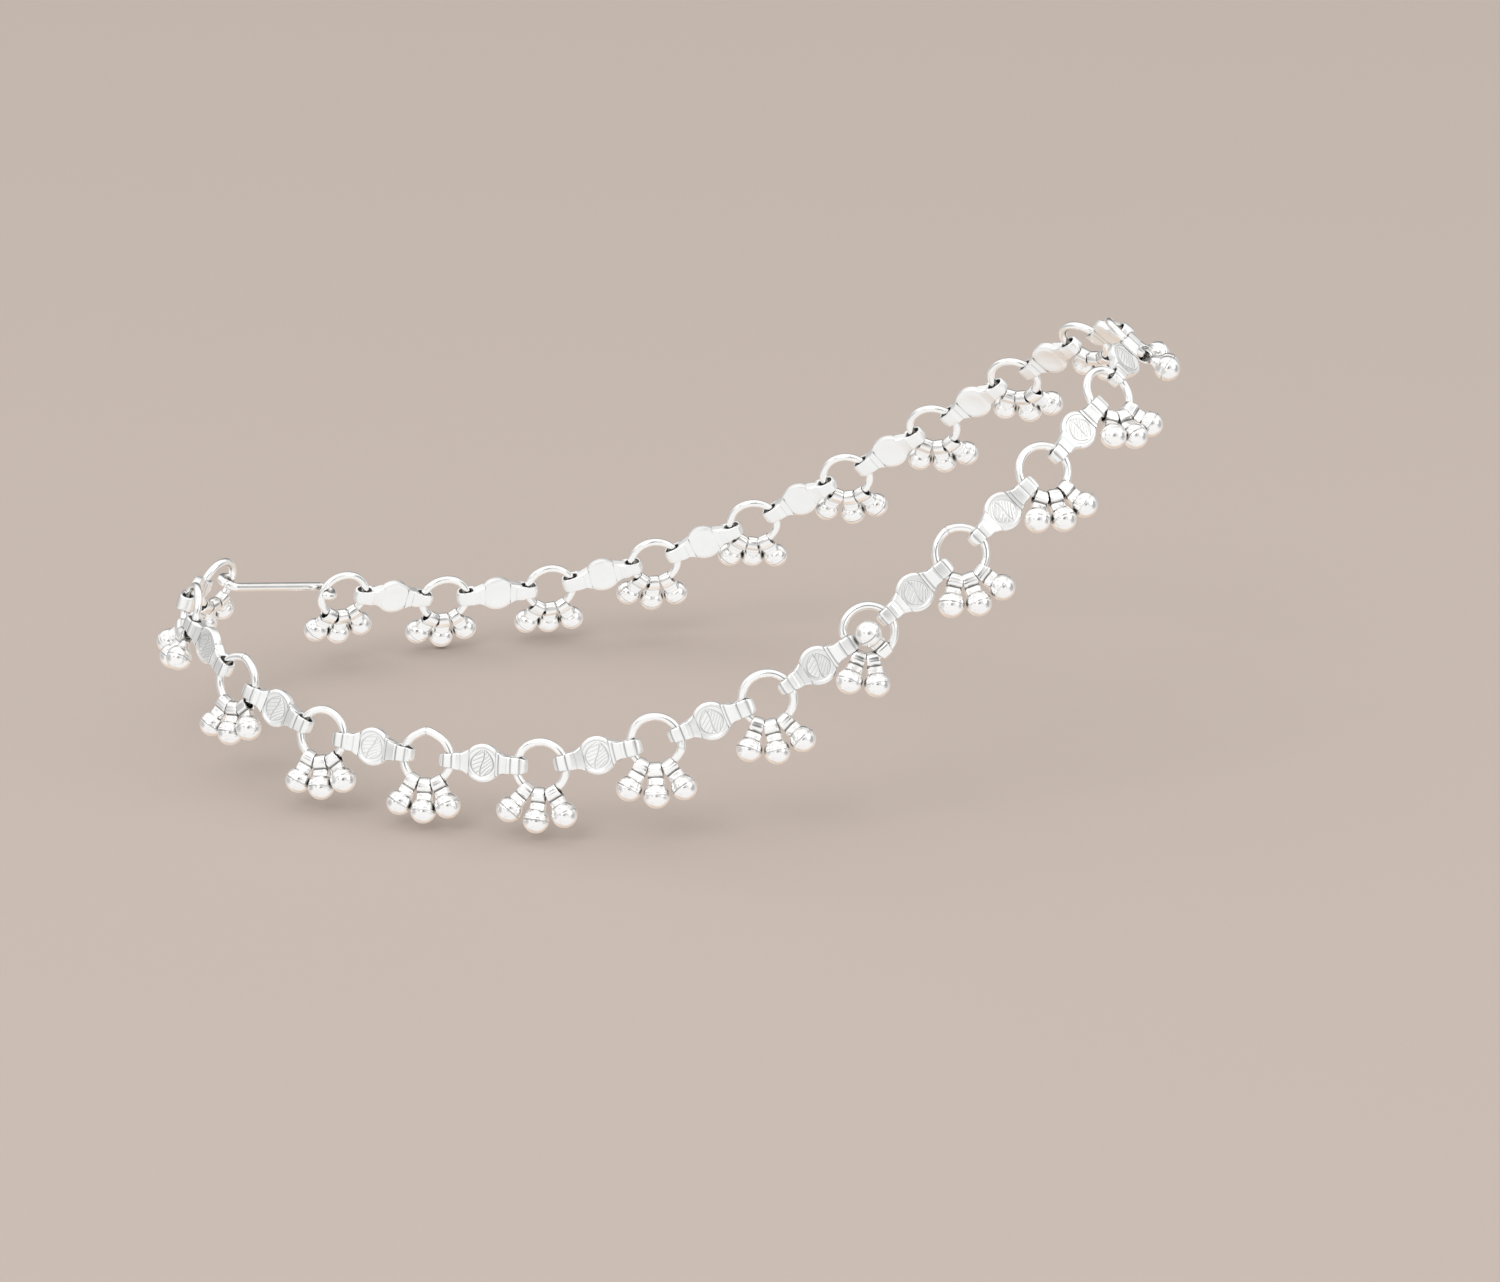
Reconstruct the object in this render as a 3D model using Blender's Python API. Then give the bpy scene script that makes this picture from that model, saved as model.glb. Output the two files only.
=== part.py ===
"""Ankle chain of round rings and stamped plates, with three bell drops on each ring.

Frame: +X towards the instep, +Y towards the far side of the ankle, +Z up. The origin is the middle
of the loop, where the ankle passes through. The loop keeps the form that it has on an ankle: high at
the instep, low at the sides and a little higher again over the heel.

Ring and plate axes: x along the chain, y up across the chain, z away from the ankle.
"""
import itertools
import math
import random
from collections import namedtuple

import bmesh
import bpy
from mathutils import Matrix, Vector

MM = 0.001
UP = Vector((0, 0, 1))
DOWN = -UP

# Chain
RING_COUNT = 22
HOOKED_RING = RING_COUNT - 2        # the hook joins this ring to the next one

# Round ring
RING_DIAMETER = 5.75 * MM
RING_WIRE = 0.80 * MM
RING_SEGMENTS = 12
WIRE_SIDES = 5

# Plate: a disc with a strap on each side, folded into an eye round the ring's wire
EYE_SPACING = 6.65 * MM             # between the wires of the two rings that it joins
DISC_DIAMETER = 3.70 * MM
DISC_THICKNESS = 0.90 * MM
STRAP_TIP_WIDTH = 1.70 * MM
STRAP_ROOT_WIDTH = 2.25 * MM
STRAP_THICKNESS = 0.26 * MM
EYE_TIP_GAP = 0.30 * MM             # between the wire and the eye, at the strap's end
EYE_DISC_GAP = 0.24 * MM            # on the side of the disc
EYE_SIDE_GAP = 0.125 * MM           # in front of the wire and behind it
DISC_ARC_STEPS = 4                  # in each of the disc's two arcs, between the straps
DISC_FLAT = 0.9                     # flat part of the disc, in shares of its radius
EYE_CORNER = 0.55                   # slanted ends of the hole, in shares of its half height
EYE_ROUNDING = 0.45                 # rounded end of the strap, in shares of the eye's half height

# Drop: a band round the wire, a neck with a creased collar, and a ball
BALL_DIAMETER = 2.55 * MM
BAIL_WIDTH = 1.10 * MM
BAIL_BAND = 0.25 * MM
BAIL_GAP = 0.10 * MM                # between the ring's wire and the band
COLLAR_DROP = 1.30 * MM             # from the ring's wire to the collar
COLLAR_WIDTH = 1.30 * MM
COLLAR_THICKNESS = 1.10 * MM
SKIRT_LENGTH = 0.40 * MM            # from the collar to the edge where the neck meets the ball
BALL_LATITUDES = (50, 0, -50)       # degrees, from the neck's edge to the lowest facets
BAIL_SHOULDER = 0.45                # widest part of the bail above the wire, in shares of its radius
BAIL_TAPER = 0.9                    # thickness there, in shares of the bail's diameter
DROP_SIDES = 10

# Hook: an S of round wire
HOOK_SPAN = 12.45 * MM              # between the wires of the two rings that it joins
HOOK_WIRE = 0.90 * MM
HOOK_GAP = 0.20 * MM
HOOK_OPEN_ANGLE = -50               # degrees, where each end of the S stops
HOOK_ARC_STEPS = 8
HOOK_BEVEL_RESOLUTION = 1           # gives six sides

# Route round the ankle, in shares of half its length from heel to instep
ROUTE_WIDTH = 0.592                 # half width
ROUTE_FRONT_FULLNESS = 0.072        # how much wider the front half is
ROUTE_TILT = 0.306                  # how far the instep lies above the heel
ROUTE_SADDLE = 0.201                # how far both ends lie above the sides
ROUTE_SHOULDER = -0.015             # how far the slopes bulge between them
ROUTE_START = 0.357                 # first ring, in pitches past the middle of the heel
ROUTE_SAMPLES = 1440
SETTLING_ROUNDS = 40

# Lean of a ring's top towards the ankle, in degrees
LEAN_SIDE = 13
LEAN_INSTEP = 47
LEAN_HEEL = 17

# How the drops hang, with angles in degrees
BAIL_PLAY = 0.18 * MM               # bare wire between neighbouring bails
BALL_PLAY = 0.12 * MM               # between neighbouring balls that hang straight
BALL_GAP = 0.03 * MM                # between neighbouring balls that lean on each other
DROP_TILT = 15                      # out of the ring's plane, because the balls lie on the ankle
FOLDED_TILT = 25                    # of a drop that has been turned up over its ring
LEAN_STEP = math.radians(0.5)       # with which a crowded middle drop leans further out
BAIL_CLEARANCE = 3                  # between the outer bails and the eyes of the plates
DISC_GAP = 0.15 * MM                # between the outer balls and the discs beside them
IRREGULARITY = 3
IRREGULARITY_SEED = 7

# Rings that show best, from the heel to the instep. lift is in shares of the ring's diameter, turn
# moves the three bails round the ring, and the last columns swing each drop, all three in degrees.
RingRow = namedtuple("RingRow", "lift turn rear middle front")
RING_ROWS = (
    RingRow(0.055, 0, 0, 0, 0),
    RingRow(-0.150, 6, 6, 4, 4),
    RingRow(-0.090, 6, 8, 6, 6),
    RingRow(0.107, 2, 4, 0, 0),
    RingRow(0.010, 0, -6, -2, 3),
    RingRow(0.025, 2, 2, 3, 6),
    RingRow(-0.070, 8, 6, 6, 7),
    RingRow(-0.008, 0, -8, -10, 184),
    RingRow(0.055, 2, 4, -2, 6),
    RingRow(0.055, 0, -4, -6, -4),
    RingRow(-0.035, 0, -6, -8, -4),
    RingRow(-0.012, 0, 0, 0, 0),
)

FLAT_ANGLE = math.radians(0.2)      # faces that differ by less are joined into one
CREASE_ANGLE = math.radians(40)     # edges sharper than this stay sharp in the shading

# Places that follow from the sizes above
RING_RADIUS = (RING_DIAMETER - RING_WIRE) / 2
PITCH = EYE_SPACING + 2 * RING_RADIUS
WIRE_BOW = RING_RADIUS - math.sqrt(RING_RADIUS ** 2 - (STRAP_TIP_WIDTH / 2) ** 2)
EYE_TIP = RING_WIRE / 2 + WIRE_BOW + EYE_TIP_GAP
EYE_DISC_SIDE = RING_WIRE / 2 + EYE_DISC_GAP
EYE_HALF_HEIGHT = RING_WIRE / 2 + EYE_SIDE_GAP
PLATE_HALF_LENGTH = EYE_SPACING / 2 + EYE_TIP + STRAP_THICKNESS
BAIL_RADIUS = RING_WIRE / 2 + BAIL_GAP + BAIL_BAND
BALL_DROP = COLLAR_DROP + SKIRT_LENGTH + BALL_DIAMETER / 2 * math.sin(math.radians(BALL_LATITUDES[0]))
BALL_REACH = RING_RADIUS + BALL_DROP * math.cos(math.radians(DROP_TILT))

Link = namedtuple("Link", "start end axes")
Ring = namedtuple("Ring", "centre axes")


def chord_angle(chord, radius):
    """Angle in degrees over which a chord of this length spans a circle."""
    return 2 * math.degrees(math.asin(chord / 2 / radius))


def disc_angle():
    """Angle in degrees between a plate and the nearest ball that clears its disc, about the ring."""
    away = RING_RADIUS + EYE_SPACING / 2
    apart = (DISC_DIAMETER + BALL_DIAMETER) / 2 + DISC_GAP
    return math.degrees(math.acos((BALL_REACH ** 2 + away ** 2 - apart ** 2) / (2 * BALL_REACH * away)))


BAIL_STEP = chord_angle(BAIL_WIDTH + BAIL_PLAY, RING_RADIUS)
BALL_STEP = chord_angle(BALL_DIAMETER + BALL_PLAY, BALL_REACH)
EYE_ANGLE = chord_angle(STRAP_TIP_WIDTH, RING_RADIUS)
BAIL_ANGLE = chord_angle(BAIL_WIDTH, RING_RADIUS)
BAIL_MARGIN = (EYE_ANGLE + BAIL_ANGLE) / 2 + BAIL_CLEARANCE
BALL_MARGIN = disc_angle()


def route_point(angle):
    """Point of the unit route: angle 0 is the instep and half a turn is the heel."""
    across = math.sin(angle) * (1 + ROUTE_FRONT_FULLNESS * math.cos(angle))
    height = (ROUTE_TILT * math.cos(angle) + ROUTE_SADDLE * math.cos(2 * angle)
              + ROUTE_SHOULDER * math.cos(3 * angle))
    return Vector((math.cos(angle), ROUTE_WIDTH * across, height))


def measure_route():
    """Angles and distances along the unit route, from the heel round by the near side."""
    angles = [-math.pi + 2 * math.pi * k / ROUTE_SAMPLES for k in range(ROUTE_SAMPLES + 1)]
    points = [route_point(angle) for angle in angles]
    distances = [0.0]
    for before, after in zip(points, points[1:]):
        distances.append(distances[-1] + (after - before).length)
    return angles, distances


ROUTE_ANGLES, ROUTE_DISTANCES = measure_route()
ROUTE_LENGTH = ROUTE_DISTANCES[-1]


def angle_at(distance):
    """Angle of the route at a distance along it, both on the unit route."""
    distance %= ROUTE_LENGTH
    low, high = 0, ROUTE_SAMPLES
    while high - low > 1:
        middle = (low + high) // 2
        if ROUTE_DISTANCES[middle] > distance:
            high = middle
        else:
            low = middle
    part = (distance - ROUTE_DISTANCES[low]) / (ROUTE_DISTANCES[high] - ROUTE_DISTANCES[low])
    return ROUTE_ANGLES[low] + part * (ROUTE_ANGLES[high] - ROUTE_ANGLES[low])


def axes_matrix(x_axis, y_axis, z_axis):
    return Matrix((x_axis, y_axis, z_axis)).transposed()


def ring_axes(angle):
    """Axes of a ring that lies flat on the ankle at this angle of the route."""
    step = math.pi / ROUTE_SAMPLES
    along = (route_point(angle + step) - route_point(angle - step)).normalized()
    outward = along.cross(UP).normalized()
    front, back = max(0, math.cos(angle)) ** 2, max(0, -math.cos(angle)) ** 2
    lean = math.radians(LEAN_SIDE + (LEAN_INSTEP - LEAN_SIDE) * front + (LEAN_HEEL - LEAN_SIDE) * back)
    facing = outward * math.cos(lean) + outward.cross(along) * math.sin(lean)
    return axes_matrix(along, facing.cross(along), facing)


def ring_row(index):
    """The ring's own row, or a slight irregularity for a ring that shows less."""
    if index < len(RING_ROWS):
        return RING_ROWS[index]
    chance = random.Random(IRREGULARITY_SEED + index)
    return RingRow(0, *(chance.uniform(-IRREGULARITY, IRREGULARITY) for _ in range(4)))


def point_on_ring(ring, target):
    """The middle of the ring's wire on the side that faces the target."""
    facing = ring.axes.col[2]
    aim = target - ring.centre
    aim -= facing * aim.dot(facing)
    return ring.centre + aim.normalized() * RING_RADIUS


def lay_rings(steps, scale):
    """Rings at the given distances from each other along the route."""
    rings = []
    distance = ROUTE_START * PITCH
    for index, step in enumerate(steps):
        angle = angle_at(distance / scale)
        centre = route_point(angle) * scale + UP * (ring_row(index).lift * RING_DIAMETER)
        rings.append(Ring(centre, ring_axes(angle)))
        distance += step
    return rings


def settle_chain():
    """Moves the rings along the route until every plate and the hook just reach from wire to wire."""
    spans = [HOOK_SPAN if index == HOOKED_RING else EYE_SPACING for index in range(RING_COUNT)]
    steps = [span + 2 * RING_RADIUS for span in spans]
    for _ in range(SETTLING_ROUNDS):
        rings = lay_rings(steps, sum(steps) / ROUTE_LENGTH)
        for index, ring in enumerate(rings):
            following = rings[(index + 1) % RING_COUNT]
            start = point_on_ring(ring, following.centre)
            end = point_on_ring(following, ring.centre)
            steps[index] += spans[index] - (end - start).length
    return rings


def link_between(ring, following):
    """Where the piece between two rings starts and ends, with its axes."""
    start = point_on_ring(ring, following.centre)
    end = point_on_ring(following, ring.centre)
    along = (end - start).normalized()
    across = Vector((0, 0, 0))
    for owner, point in ((ring, start), (following, end)):
        wire = owner.axes.col[2].cross(point - owner.centre).normalized()
        across += wire if wire.dot(owner.axes.col[1]) > 0 else -wire
    across = (across - along * across.dot(along)).normalized()
    return Link(start, end, axes_matrix(along, across, along.cross(across)))


def mesh_object(name, vertices, faces):
    mesh = bpy.data.meshes.new(name)
    mesh.from_pydata([tuple(v) for v in vertices], [], faces)
    mesh.validate()
    item = bpy.data.objects.new(name, mesh)
    bpy.context.scene.collection.objects.link(item)
    return item


def combine(base, operation, tools):
    """Applies Boolean operations to the base, and removes the pieces that they used."""
    for tool in tools:
        modifier = base.modifiers.new(operation.lower(), "BOOLEAN")
        modifier.operation = operation
        modifier.solver = "EXACT"
        modifier.object = tool
    graph = bpy.context.evaluated_depsgraph_get()
    mesh = bpy.data.meshes.new_from_object(base.evaluated_get(graph))
    for item in (base, *tools):
        bpy.data.objects.remove(item)
    shape = bmesh.new()
    shape.from_mesh(mesh)
    bmesh.ops.dissolve_limit(shape, angle_limit=FLAT_ANGLE, verts=shape.verts, edges=shape.edges)
    on_edges = [v for v in shape.verts if len(v.link_edges) == 2]
    bmesh.ops.dissolve_verts(shape, verts=on_edges)
    shape.to_mesh(mesh)
    shape.free()
    return mesh


def prism(name, outline, holes, half_height, place):
    """Closed extrusion of an outline. place turns a flat point and a height into a 3-D point."""
    shape = bmesh.new()
    edges = []
    for loop in (outline, *holes):
        corners = [shape.verts.new(place(x, y, -half_height)) for x, y in loop]
        edges += [shape.edges.new((a, b)) for a, b in zip(corners, corners[1:] + corners[:1])]
    base = bmesh.ops.triangle_fill(shape, use_beauty=True, edges=edges)["geom"]
    faces = [item for item in base if isinstance(item, bmesh.types.BMFace)]
    grown = bmesh.ops.extrude_face_region(shape, geom=faces)["geom"]
    rise = place(0, 0, half_height) - place(0, 0, -half_height)
    bmesh.ops.translate(shape, vec=rise, verts=[v for v in grown if isinstance(v, bmesh.types.BMVert)])
    bmesh.ops.recalc_face_normals(shape, faces=shape.faces)
    mesh = bpy.data.meshes.new(name)
    shape.to_mesh(mesh)
    shape.free()
    item = bpy.data.objects.new(name, mesh)
    bpy.context.scene.collection.objects.link(item)
    return item


def closed_outline(upper):
    """Adds the lower half to an outline's upper half."""
    return upper + [(x, -y) for x, y in reversed(upper)]


def plate_plan():
    """The plate seen from the front: a round disc between two straps."""
    radius = DISC_DIAMETER / 2
    tip, root = STRAP_TIP_WIDTH / 2, STRAP_ROOT_WIDTH / 2
    start = math.asin(root / radius)
    turns = [start + (math.pi - 2 * start) * k / DISC_ARC_STEPS for k in range(DISC_ARC_STEPS + 1)]
    arc = [(radius * math.cos(turn), radius * math.sin(turn)) for turn in turns]
    end = PLATE_HALF_LENGTH + STRAP_THICKNESS
    return closed_outline([(end, tip), *arc, (-end, tip)])


def plate_side():
    """The plate seen from its edge: a thin disc between two thicker eyes."""
    end = PLATE_HALF_LENGTH
    height = EYE_HALF_HEIGHT + STRAP_THICKNESS
    eye_start = EYE_SPACING / 2 - EYE_DISC_SIDE
    right = [
        (end, height * EYE_ROUNDING),
        (end - height * EYE_ROUNDING, height),
        (eye_start, height),
        (DISC_DIAMETER / 2 * DISC_FLAT, DISC_THICKNESS / 2),
    ]
    return closed_outline(right + [(-x, y) for x, y in reversed(right)])


def eye_outline(side):
    """The hole that the ring's wire passes through. side is 1 or -1."""
    near, far = EYE_SPACING / 2 - EYE_DISC_SIDE, EYE_SPACING / 2 + EYE_TIP
    corner = EYE_HALF_HEIGHT * EYE_CORNER
    upper = [(near + corner, EYE_HALF_HEIGHT), (far - corner, EYE_HALF_HEIGHT)]
    lower = [(x, -y) for x, y in reversed(upper)]
    return [(side * x, y) for x, y in [(near, 0), *upper, (far, 0), *lower]]


def make_plate_mesh():
    thickness = max(DISC_THICKNESS, 2 * EYE_HALF_HEIGHT) + 2 * STRAP_THICKNESS
    plan = prism("plan", plate_plan(), [], thickness, lambda x, y, h: Vector((x, y, h)))
    side = prism("side", plate_side(), [eye_outline(1), eye_outline(-1)], DISC_DIAMETER,
                 lambda x, z, h: Vector((x, h, z)))
    return combine(side, "INTERSECT", [plan])


def make_torus():
    vertices, faces = [], []
    for i in range(RING_SEGMENTS):
        turn = 2 * math.pi * (i + 0.5) / RING_SEGMENTS
        for k in range(WIRE_SIDES):
            side = 2 * math.pi * k / WIRE_SIDES
            reach = RING_RADIUS + RING_WIRE / 2 * math.cos(side)
            height = RING_WIRE / 2 * math.sin(side)
            vertices.append((reach * math.cos(turn), reach * math.sin(turn), height))
            a, b = i * WIRE_SIDES + k, i * WIRE_SIDES + (k + 1) % WIRE_SIDES
            following = ((i + 1) % RING_SEGMENTS - i) * WIRE_SIDES
            faces.append((a, a + following, b + following, b))
    return mesh_object("ring", vertices, faces)


def drop_sections():
    """Depth under the wire, half width along the wire and half thickness, from top to bottom."""
    radius = BALL_DIAMETER / 2
    sections = [
        (-BAIL_RADIUS * BAIL_SHOULDER, BAIL_WIDTH / 2, BAIL_RADIUS * BAIL_TAPER),
        (COLLAR_DROP, COLLAR_WIDTH / 2, COLLAR_THICKNESS / 2),
    ]
    for latitude in BALL_LATITUDES:
        turn = math.radians(latitude)
        width = 2 * radius * math.cos(turn)
        sections.append((BALL_DROP - radius * math.sin(turn), width / 2, width / 2))
    return sections


def make_drop(wire_point, wire_direction, down):
    """One drop, hung on the wire at a point of the ring."""
    across = (wire_direction - down * wire_direction.dot(down)).normalized()
    depth_axis = across.cross(-down)
    vertices, faces = [], []
    for depth, half_width, half_thickness in drop_sections():
        for k in range(DROP_SIDES):
            turn = 2 * math.pi * (k + 0.5) / DROP_SIDES
            vertices.append(wire_point + down * depth + across * half_width * math.cos(turn)
                            + depth_axis * half_thickness * math.sin(turn))
    last = len(vertices) - DROP_SIDES
    lowest, highest = len(vertices), len(vertices) + 1
    vertices.append(wire_point + down * (BALL_DROP + BALL_DIAMETER / 2))
    vertices.append(wire_point - down * BAIL_RADIUS)
    for start in range(0, last, DROP_SIDES):
        for k in range(DROP_SIDES):
            a, b = start + k, start + (k + 1) % DROP_SIDES
            faces.append((a, a + DROP_SIDES, b + DROP_SIDES, b))
    for k in range(DROP_SIDES):
        following = (k + 1) % DROP_SIDES
        faces.append((last + k, lowest, last + following))
        faces.append((following, highest, k))
    return mesh_object("drop", vertices, faces)


def in_ring_plane(angle):
    """Direction in the ring's own axes, with the angle in degrees from straight down towards +x."""
    turn = math.radians(angle)
    return Vector((math.sin(turn), -math.cos(turn), 0))


def tilted(direction, tilt):
    return direction * math.cos(tilt) + Vector((0, 0, 1)) * math.sin(tilt)


def angle_round_ring(ring, point):
    """Angle in degrees from straight down, in the ring's own axes, at which a point lies."""
    place = ring.axes.transposed() @ (point - ring.centre)
    return math.degrees(math.atan2(place.x, -place.y))


def clamp(value, low, high):
    return max(low, min(high, value))


def swing_towards(bail, ball):
    """How a drop has to swing, in degrees, for its ball to lie at an angle round the ring."""
    return bail + (ball - bail) * BALL_REACH / (BALL_REACH - RING_RADIUS)


def ball_centre(wire, flat, tilt):
    return wire + tilted(flat, tilt) * BALL_DROP


def lean_out(places):
    """Tilt at which the ball of the middle drop clears the balls on both sides of it."""
    wire, _, flat, tilt = places[1]
    others = [ball_centre(place[0], *place[2:]) for place in (places[0], places[2])]
    while min((ball_centre(wire, flat, tilt) - ball).length for ball in others) < BALL_DIAMETER + BALL_GAP:
        tilt += LEAN_STEP
    return tilt


def spread_balls(middle, row, first, last):
    """Angles round the ring of the three balls, which lie between the discs beside them."""
    share = (BALL_REACH - RING_RADIUS) / BALL_REACH
    rear = clamp(middle - BALL_STEP + row.rear * share, first, last)
    front = clamp(middle + BALL_STEP + row.front * share, first, last)
    low, high = rear + BALL_STEP, front - BALL_STEP
    if low > high:
        low = high = (low + high) / 2
    return rear, clamp(middle + row.middle * share, low, high), front


def drop_places(index, ring, rear, front):
    """Wire point, wire direction and hanging direction of each drop, in the ring's own axes.

    The drops hang between the pieces that join the ring at the rear and front angles.
    """
    row = ring_row(index)
    pull = angle_round_ring(ring, ring.centre + DOWN)
    middle = clamp(pull + row.turn, rear + BAIL_MARGIN + BAIL_STEP, front - BAIL_MARGIN - BAIL_STEP)
    balls = spread_balls(middle, row, rear + BALL_MARGIN, front - BALL_MARGIN)
    places = []
    for side, ball, swing in zip((-1, 0, 1), balls, (row.rear, row.middle, row.front)):
        bail = middle + side * BAIL_STEP
        hang, tilt = swing_towards(bail, ball), DROP_TILT
        if abs(swing) > 90:
            hang, tilt = bail + swing, FOLDED_TILT
        wire, along = in_ring_plane(bail) * RING_RADIUS, in_ring_plane(bail + 90)
        places.append([wire, along, in_ring_plane(hang), math.radians(tilt)])
    places[1][3] = lean_out(places)
    return [(wire, along, tilted(flat, tilt)) for wire, along, flat, tilt in places]


def make_bell_ring_mesh(index, rings):
    ring = rings[index]
    rear = angle_round_ring(ring, rings[index - 1].centre)
    front = angle_round_ring(ring, rings[(index + 1) % RING_COUNT].centre)
    drops = [make_drop(*place) for place in drop_places(index, ring, rear, front)]
    return combine(make_torus(), "UNION", drops)


def make_hook():
    """S hook along x: each end curls round the wire of a ring."""
    radius = RING_WIRE / 2 + HOOK_GAP + HOOK_WIRE / 2
    touch = math.degrees(math.acos(2 * radius / HOOK_SPAN))
    sweep = 360 + HOOK_OPEN_ANGLE - touch
    curl = []
    for k in range(HOOK_ARC_STEPS + 1):
        turn = math.radians(HOOK_OPEN_ANGLE - sweep * k / HOOK_ARC_STEPS)
        curl.append((radius * math.cos(turn), radius * math.sin(turn)))
    points = curl + [(HOOK_SPAN - x, -z) for x, z in reversed(curl)]
    curve = bpy.data.curves.new("clasp_hook", "CURVE")
    curve.dimensions = "3D"
    spline = curve.splines.new("POLY")
    spline.points.add(len(points) - 1)
    for target, (x, z) in zip(spline.points, points):
        target.co = (x, 0, z, 1)
    curve.bevel_depth = HOOK_WIRE / 2
    curve.bevel_resolution = HOOK_BEVEL_RESOLUTION
    curve.use_fill_caps = True
    return curve


def make_material(name, colour, roughness):
    material = bpy.data.materials.new(name)
    material.use_nodes = True
    shader = material.node_tree.nodes["Principled BSDF"]
    shader.inputs["Base Color"].default_value = (*colour, 1)
    shader.inputs["Metallic"].default_value = 1
    shader.inputs["Roughness"].default_value = roughness
    return material


def place_piece(name, data, material, location, axes):
    piece = bpy.data.objects.new(name, data)
    bpy.context.scene.collection.objects.link(piece)
    piece.matrix_world = Matrix.Translation(location) @ axes.to_4x4()
    if not data.materials:
        data.materials.append(material)
    if isinstance(data, bpy.types.Mesh):
        data.shade_smooth()
        data.set_sharp_from_angle(angle=CREASE_ANGLE)
    return piece


def build():
    for item in list(bpy.data.objects):
        bpy.data.objects.remove(item)
    polished = make_material("polished_silver", (0.93, 0.93, 0.92), 0.16)
    stamped = make_material("stamped_silver", (0.90, 0.90, 0.89), 0.24)
    plain = make_material("plain_silver", (0.88, 0.88, 0.87), 0.20)
    rings = settle_chain()
    plate = make_plate_mesh()
    plate_numbers = itertools.count(1)
    for index, ring in enumerate(rings):
        mesh = make_bell_ring_mesh(index, rings)
        place_piece(f"bell_ring_{index + 1:02d}", mesh, polished, ring.centre, ring.axes)
        link = link_between(ring, rings[(index + 1) % RING_COUNT])
        if index == HOOKED_RING:
            place_piece("clasp_hook", make_hook(), plain, link.start, link.axes)
        else:
            name = f"plate_{next(plate_numbers):02d}"
            place_piece(name, plate, stamped, (link.start + link.end) / 2, link.axes)


build()
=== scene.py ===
import math
import random
from collections import namedtuple

import bmesh
import bpy
import numpy as np
from mathutils import Matrix, Vector


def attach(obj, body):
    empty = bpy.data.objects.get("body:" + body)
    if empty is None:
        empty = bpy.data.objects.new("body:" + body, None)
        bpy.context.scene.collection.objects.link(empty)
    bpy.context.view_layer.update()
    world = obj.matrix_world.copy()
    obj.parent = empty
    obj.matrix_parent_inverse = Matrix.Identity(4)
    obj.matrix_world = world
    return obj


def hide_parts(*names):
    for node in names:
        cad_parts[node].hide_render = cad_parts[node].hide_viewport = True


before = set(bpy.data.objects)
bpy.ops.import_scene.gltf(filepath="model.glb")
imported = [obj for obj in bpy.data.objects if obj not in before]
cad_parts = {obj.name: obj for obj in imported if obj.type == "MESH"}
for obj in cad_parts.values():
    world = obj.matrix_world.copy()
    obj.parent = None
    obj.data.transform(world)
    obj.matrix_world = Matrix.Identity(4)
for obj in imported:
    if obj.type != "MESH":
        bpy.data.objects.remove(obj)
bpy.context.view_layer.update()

# Bell-drop ankle chain: looks. Lengths are in metres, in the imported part's own frame.
# Ring and plate axes: x along the chain, y up across the chain, z away from the ankle.

MM = 0.001
UP = Vector((0, 0, 1))
DOWN = -UP
FACING = Vector((0, 0, 1))          # in a ring's own axes

# Chain, as in the part
RING_COUNT = 22
HOOKED_RING = RING_COUNT - 2
RING_DIAMETER = 5.75 * MM
RING_WIRE = 0.80 * MM
EYE_SPACING = 6.65 * MM
DISC_DIAMETER = 3.70 * MM
DISC_THICKNESS = 0.90 * MM
STRAP_TIP_WIDTH = 1.70 * MM
STRAP_ROOT_WIDTH = 2.25 * MM
STRAP_THICKNESS = 0.26 * MM
EYE_TIP_GAP = 0.30 * MM
EYE_DISC_GAP = 0.24 * MM
EYE_SIDE_GAP = 0.125 * MM
BALL_DIAMETER = 2.55 * MM
BAIL_WIDTH = 1.10 * MM
COLLAR_DROP = 1.30 * MM
SKIRT_LENGTH = 0.40 * MM
SKIRT_LATITUDE = 50
HOOK_SPAN = 12.45 * MM
HOOK_WIRE = 0.90 * MM
HOOK_GAP = 0.20 * MM
HOOK_OPEN_ANGLE = -50
ROUTE_WIDTH = 0.592
ROUTE_FRONT_FULLNESS = 0.072
ROUTE_TILT = 0.306
ROUTE_SADDLE = 0.201
ROUTE_SHOULDER = -0.015
ROUTE_START = 0.357
ROUTE_SAMPLES = 1440
SETTLING_ROUNDS = 40
LEAN_SIDE = 13
LEAN_INSTEP = 47
LEAN_HEEL = 17
BAIL_PLAY = 0.18 * MM
BALL_PLAY = 0.12 * MM
BALL_GAP = 0.03 * MM
DROP_TILT = 15
FOLDED_TILT = 25
FOLDED_FROM = 90                    # swing from which a drop lies over its ring
LEAN_STEP = math.radians(0.5)
BAIL_CLEARANCE = 3
DISC_GAP = 0.15 * MM
IRREGULARITY = 3
IRREGULARITY_SEED = 7

RingRow = namedtuple("RingRow", "lift turn rear middle front")
RING_ROWS = (
    RingRow(0.055, 0, 0, 0, 0),
    RingRow(-0.150, 6, 6, 4, 4),
    RingRow(-0.090, 6, 8, 6, 6),
    RingRow(0.107, 2, 4, 0, 0),
    RingRow(0.010, 0, -6, -2, 3),
    RingRow(0.025, 2, 2, 3, 6),
    RingRow(-0.070, 8, 6, 6, 7),
    RingRow(-0.008, 0, -8, -10, 184),
    RingRow(0.055, 2, 4, -2, 6),
    RingRow(0.055, 0, -4, -6, -4),
    RingRow(-0.035, 0, -6, -8, -4),
    RingRow(-0.012, 0, 0, 0, 0),
)

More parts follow.
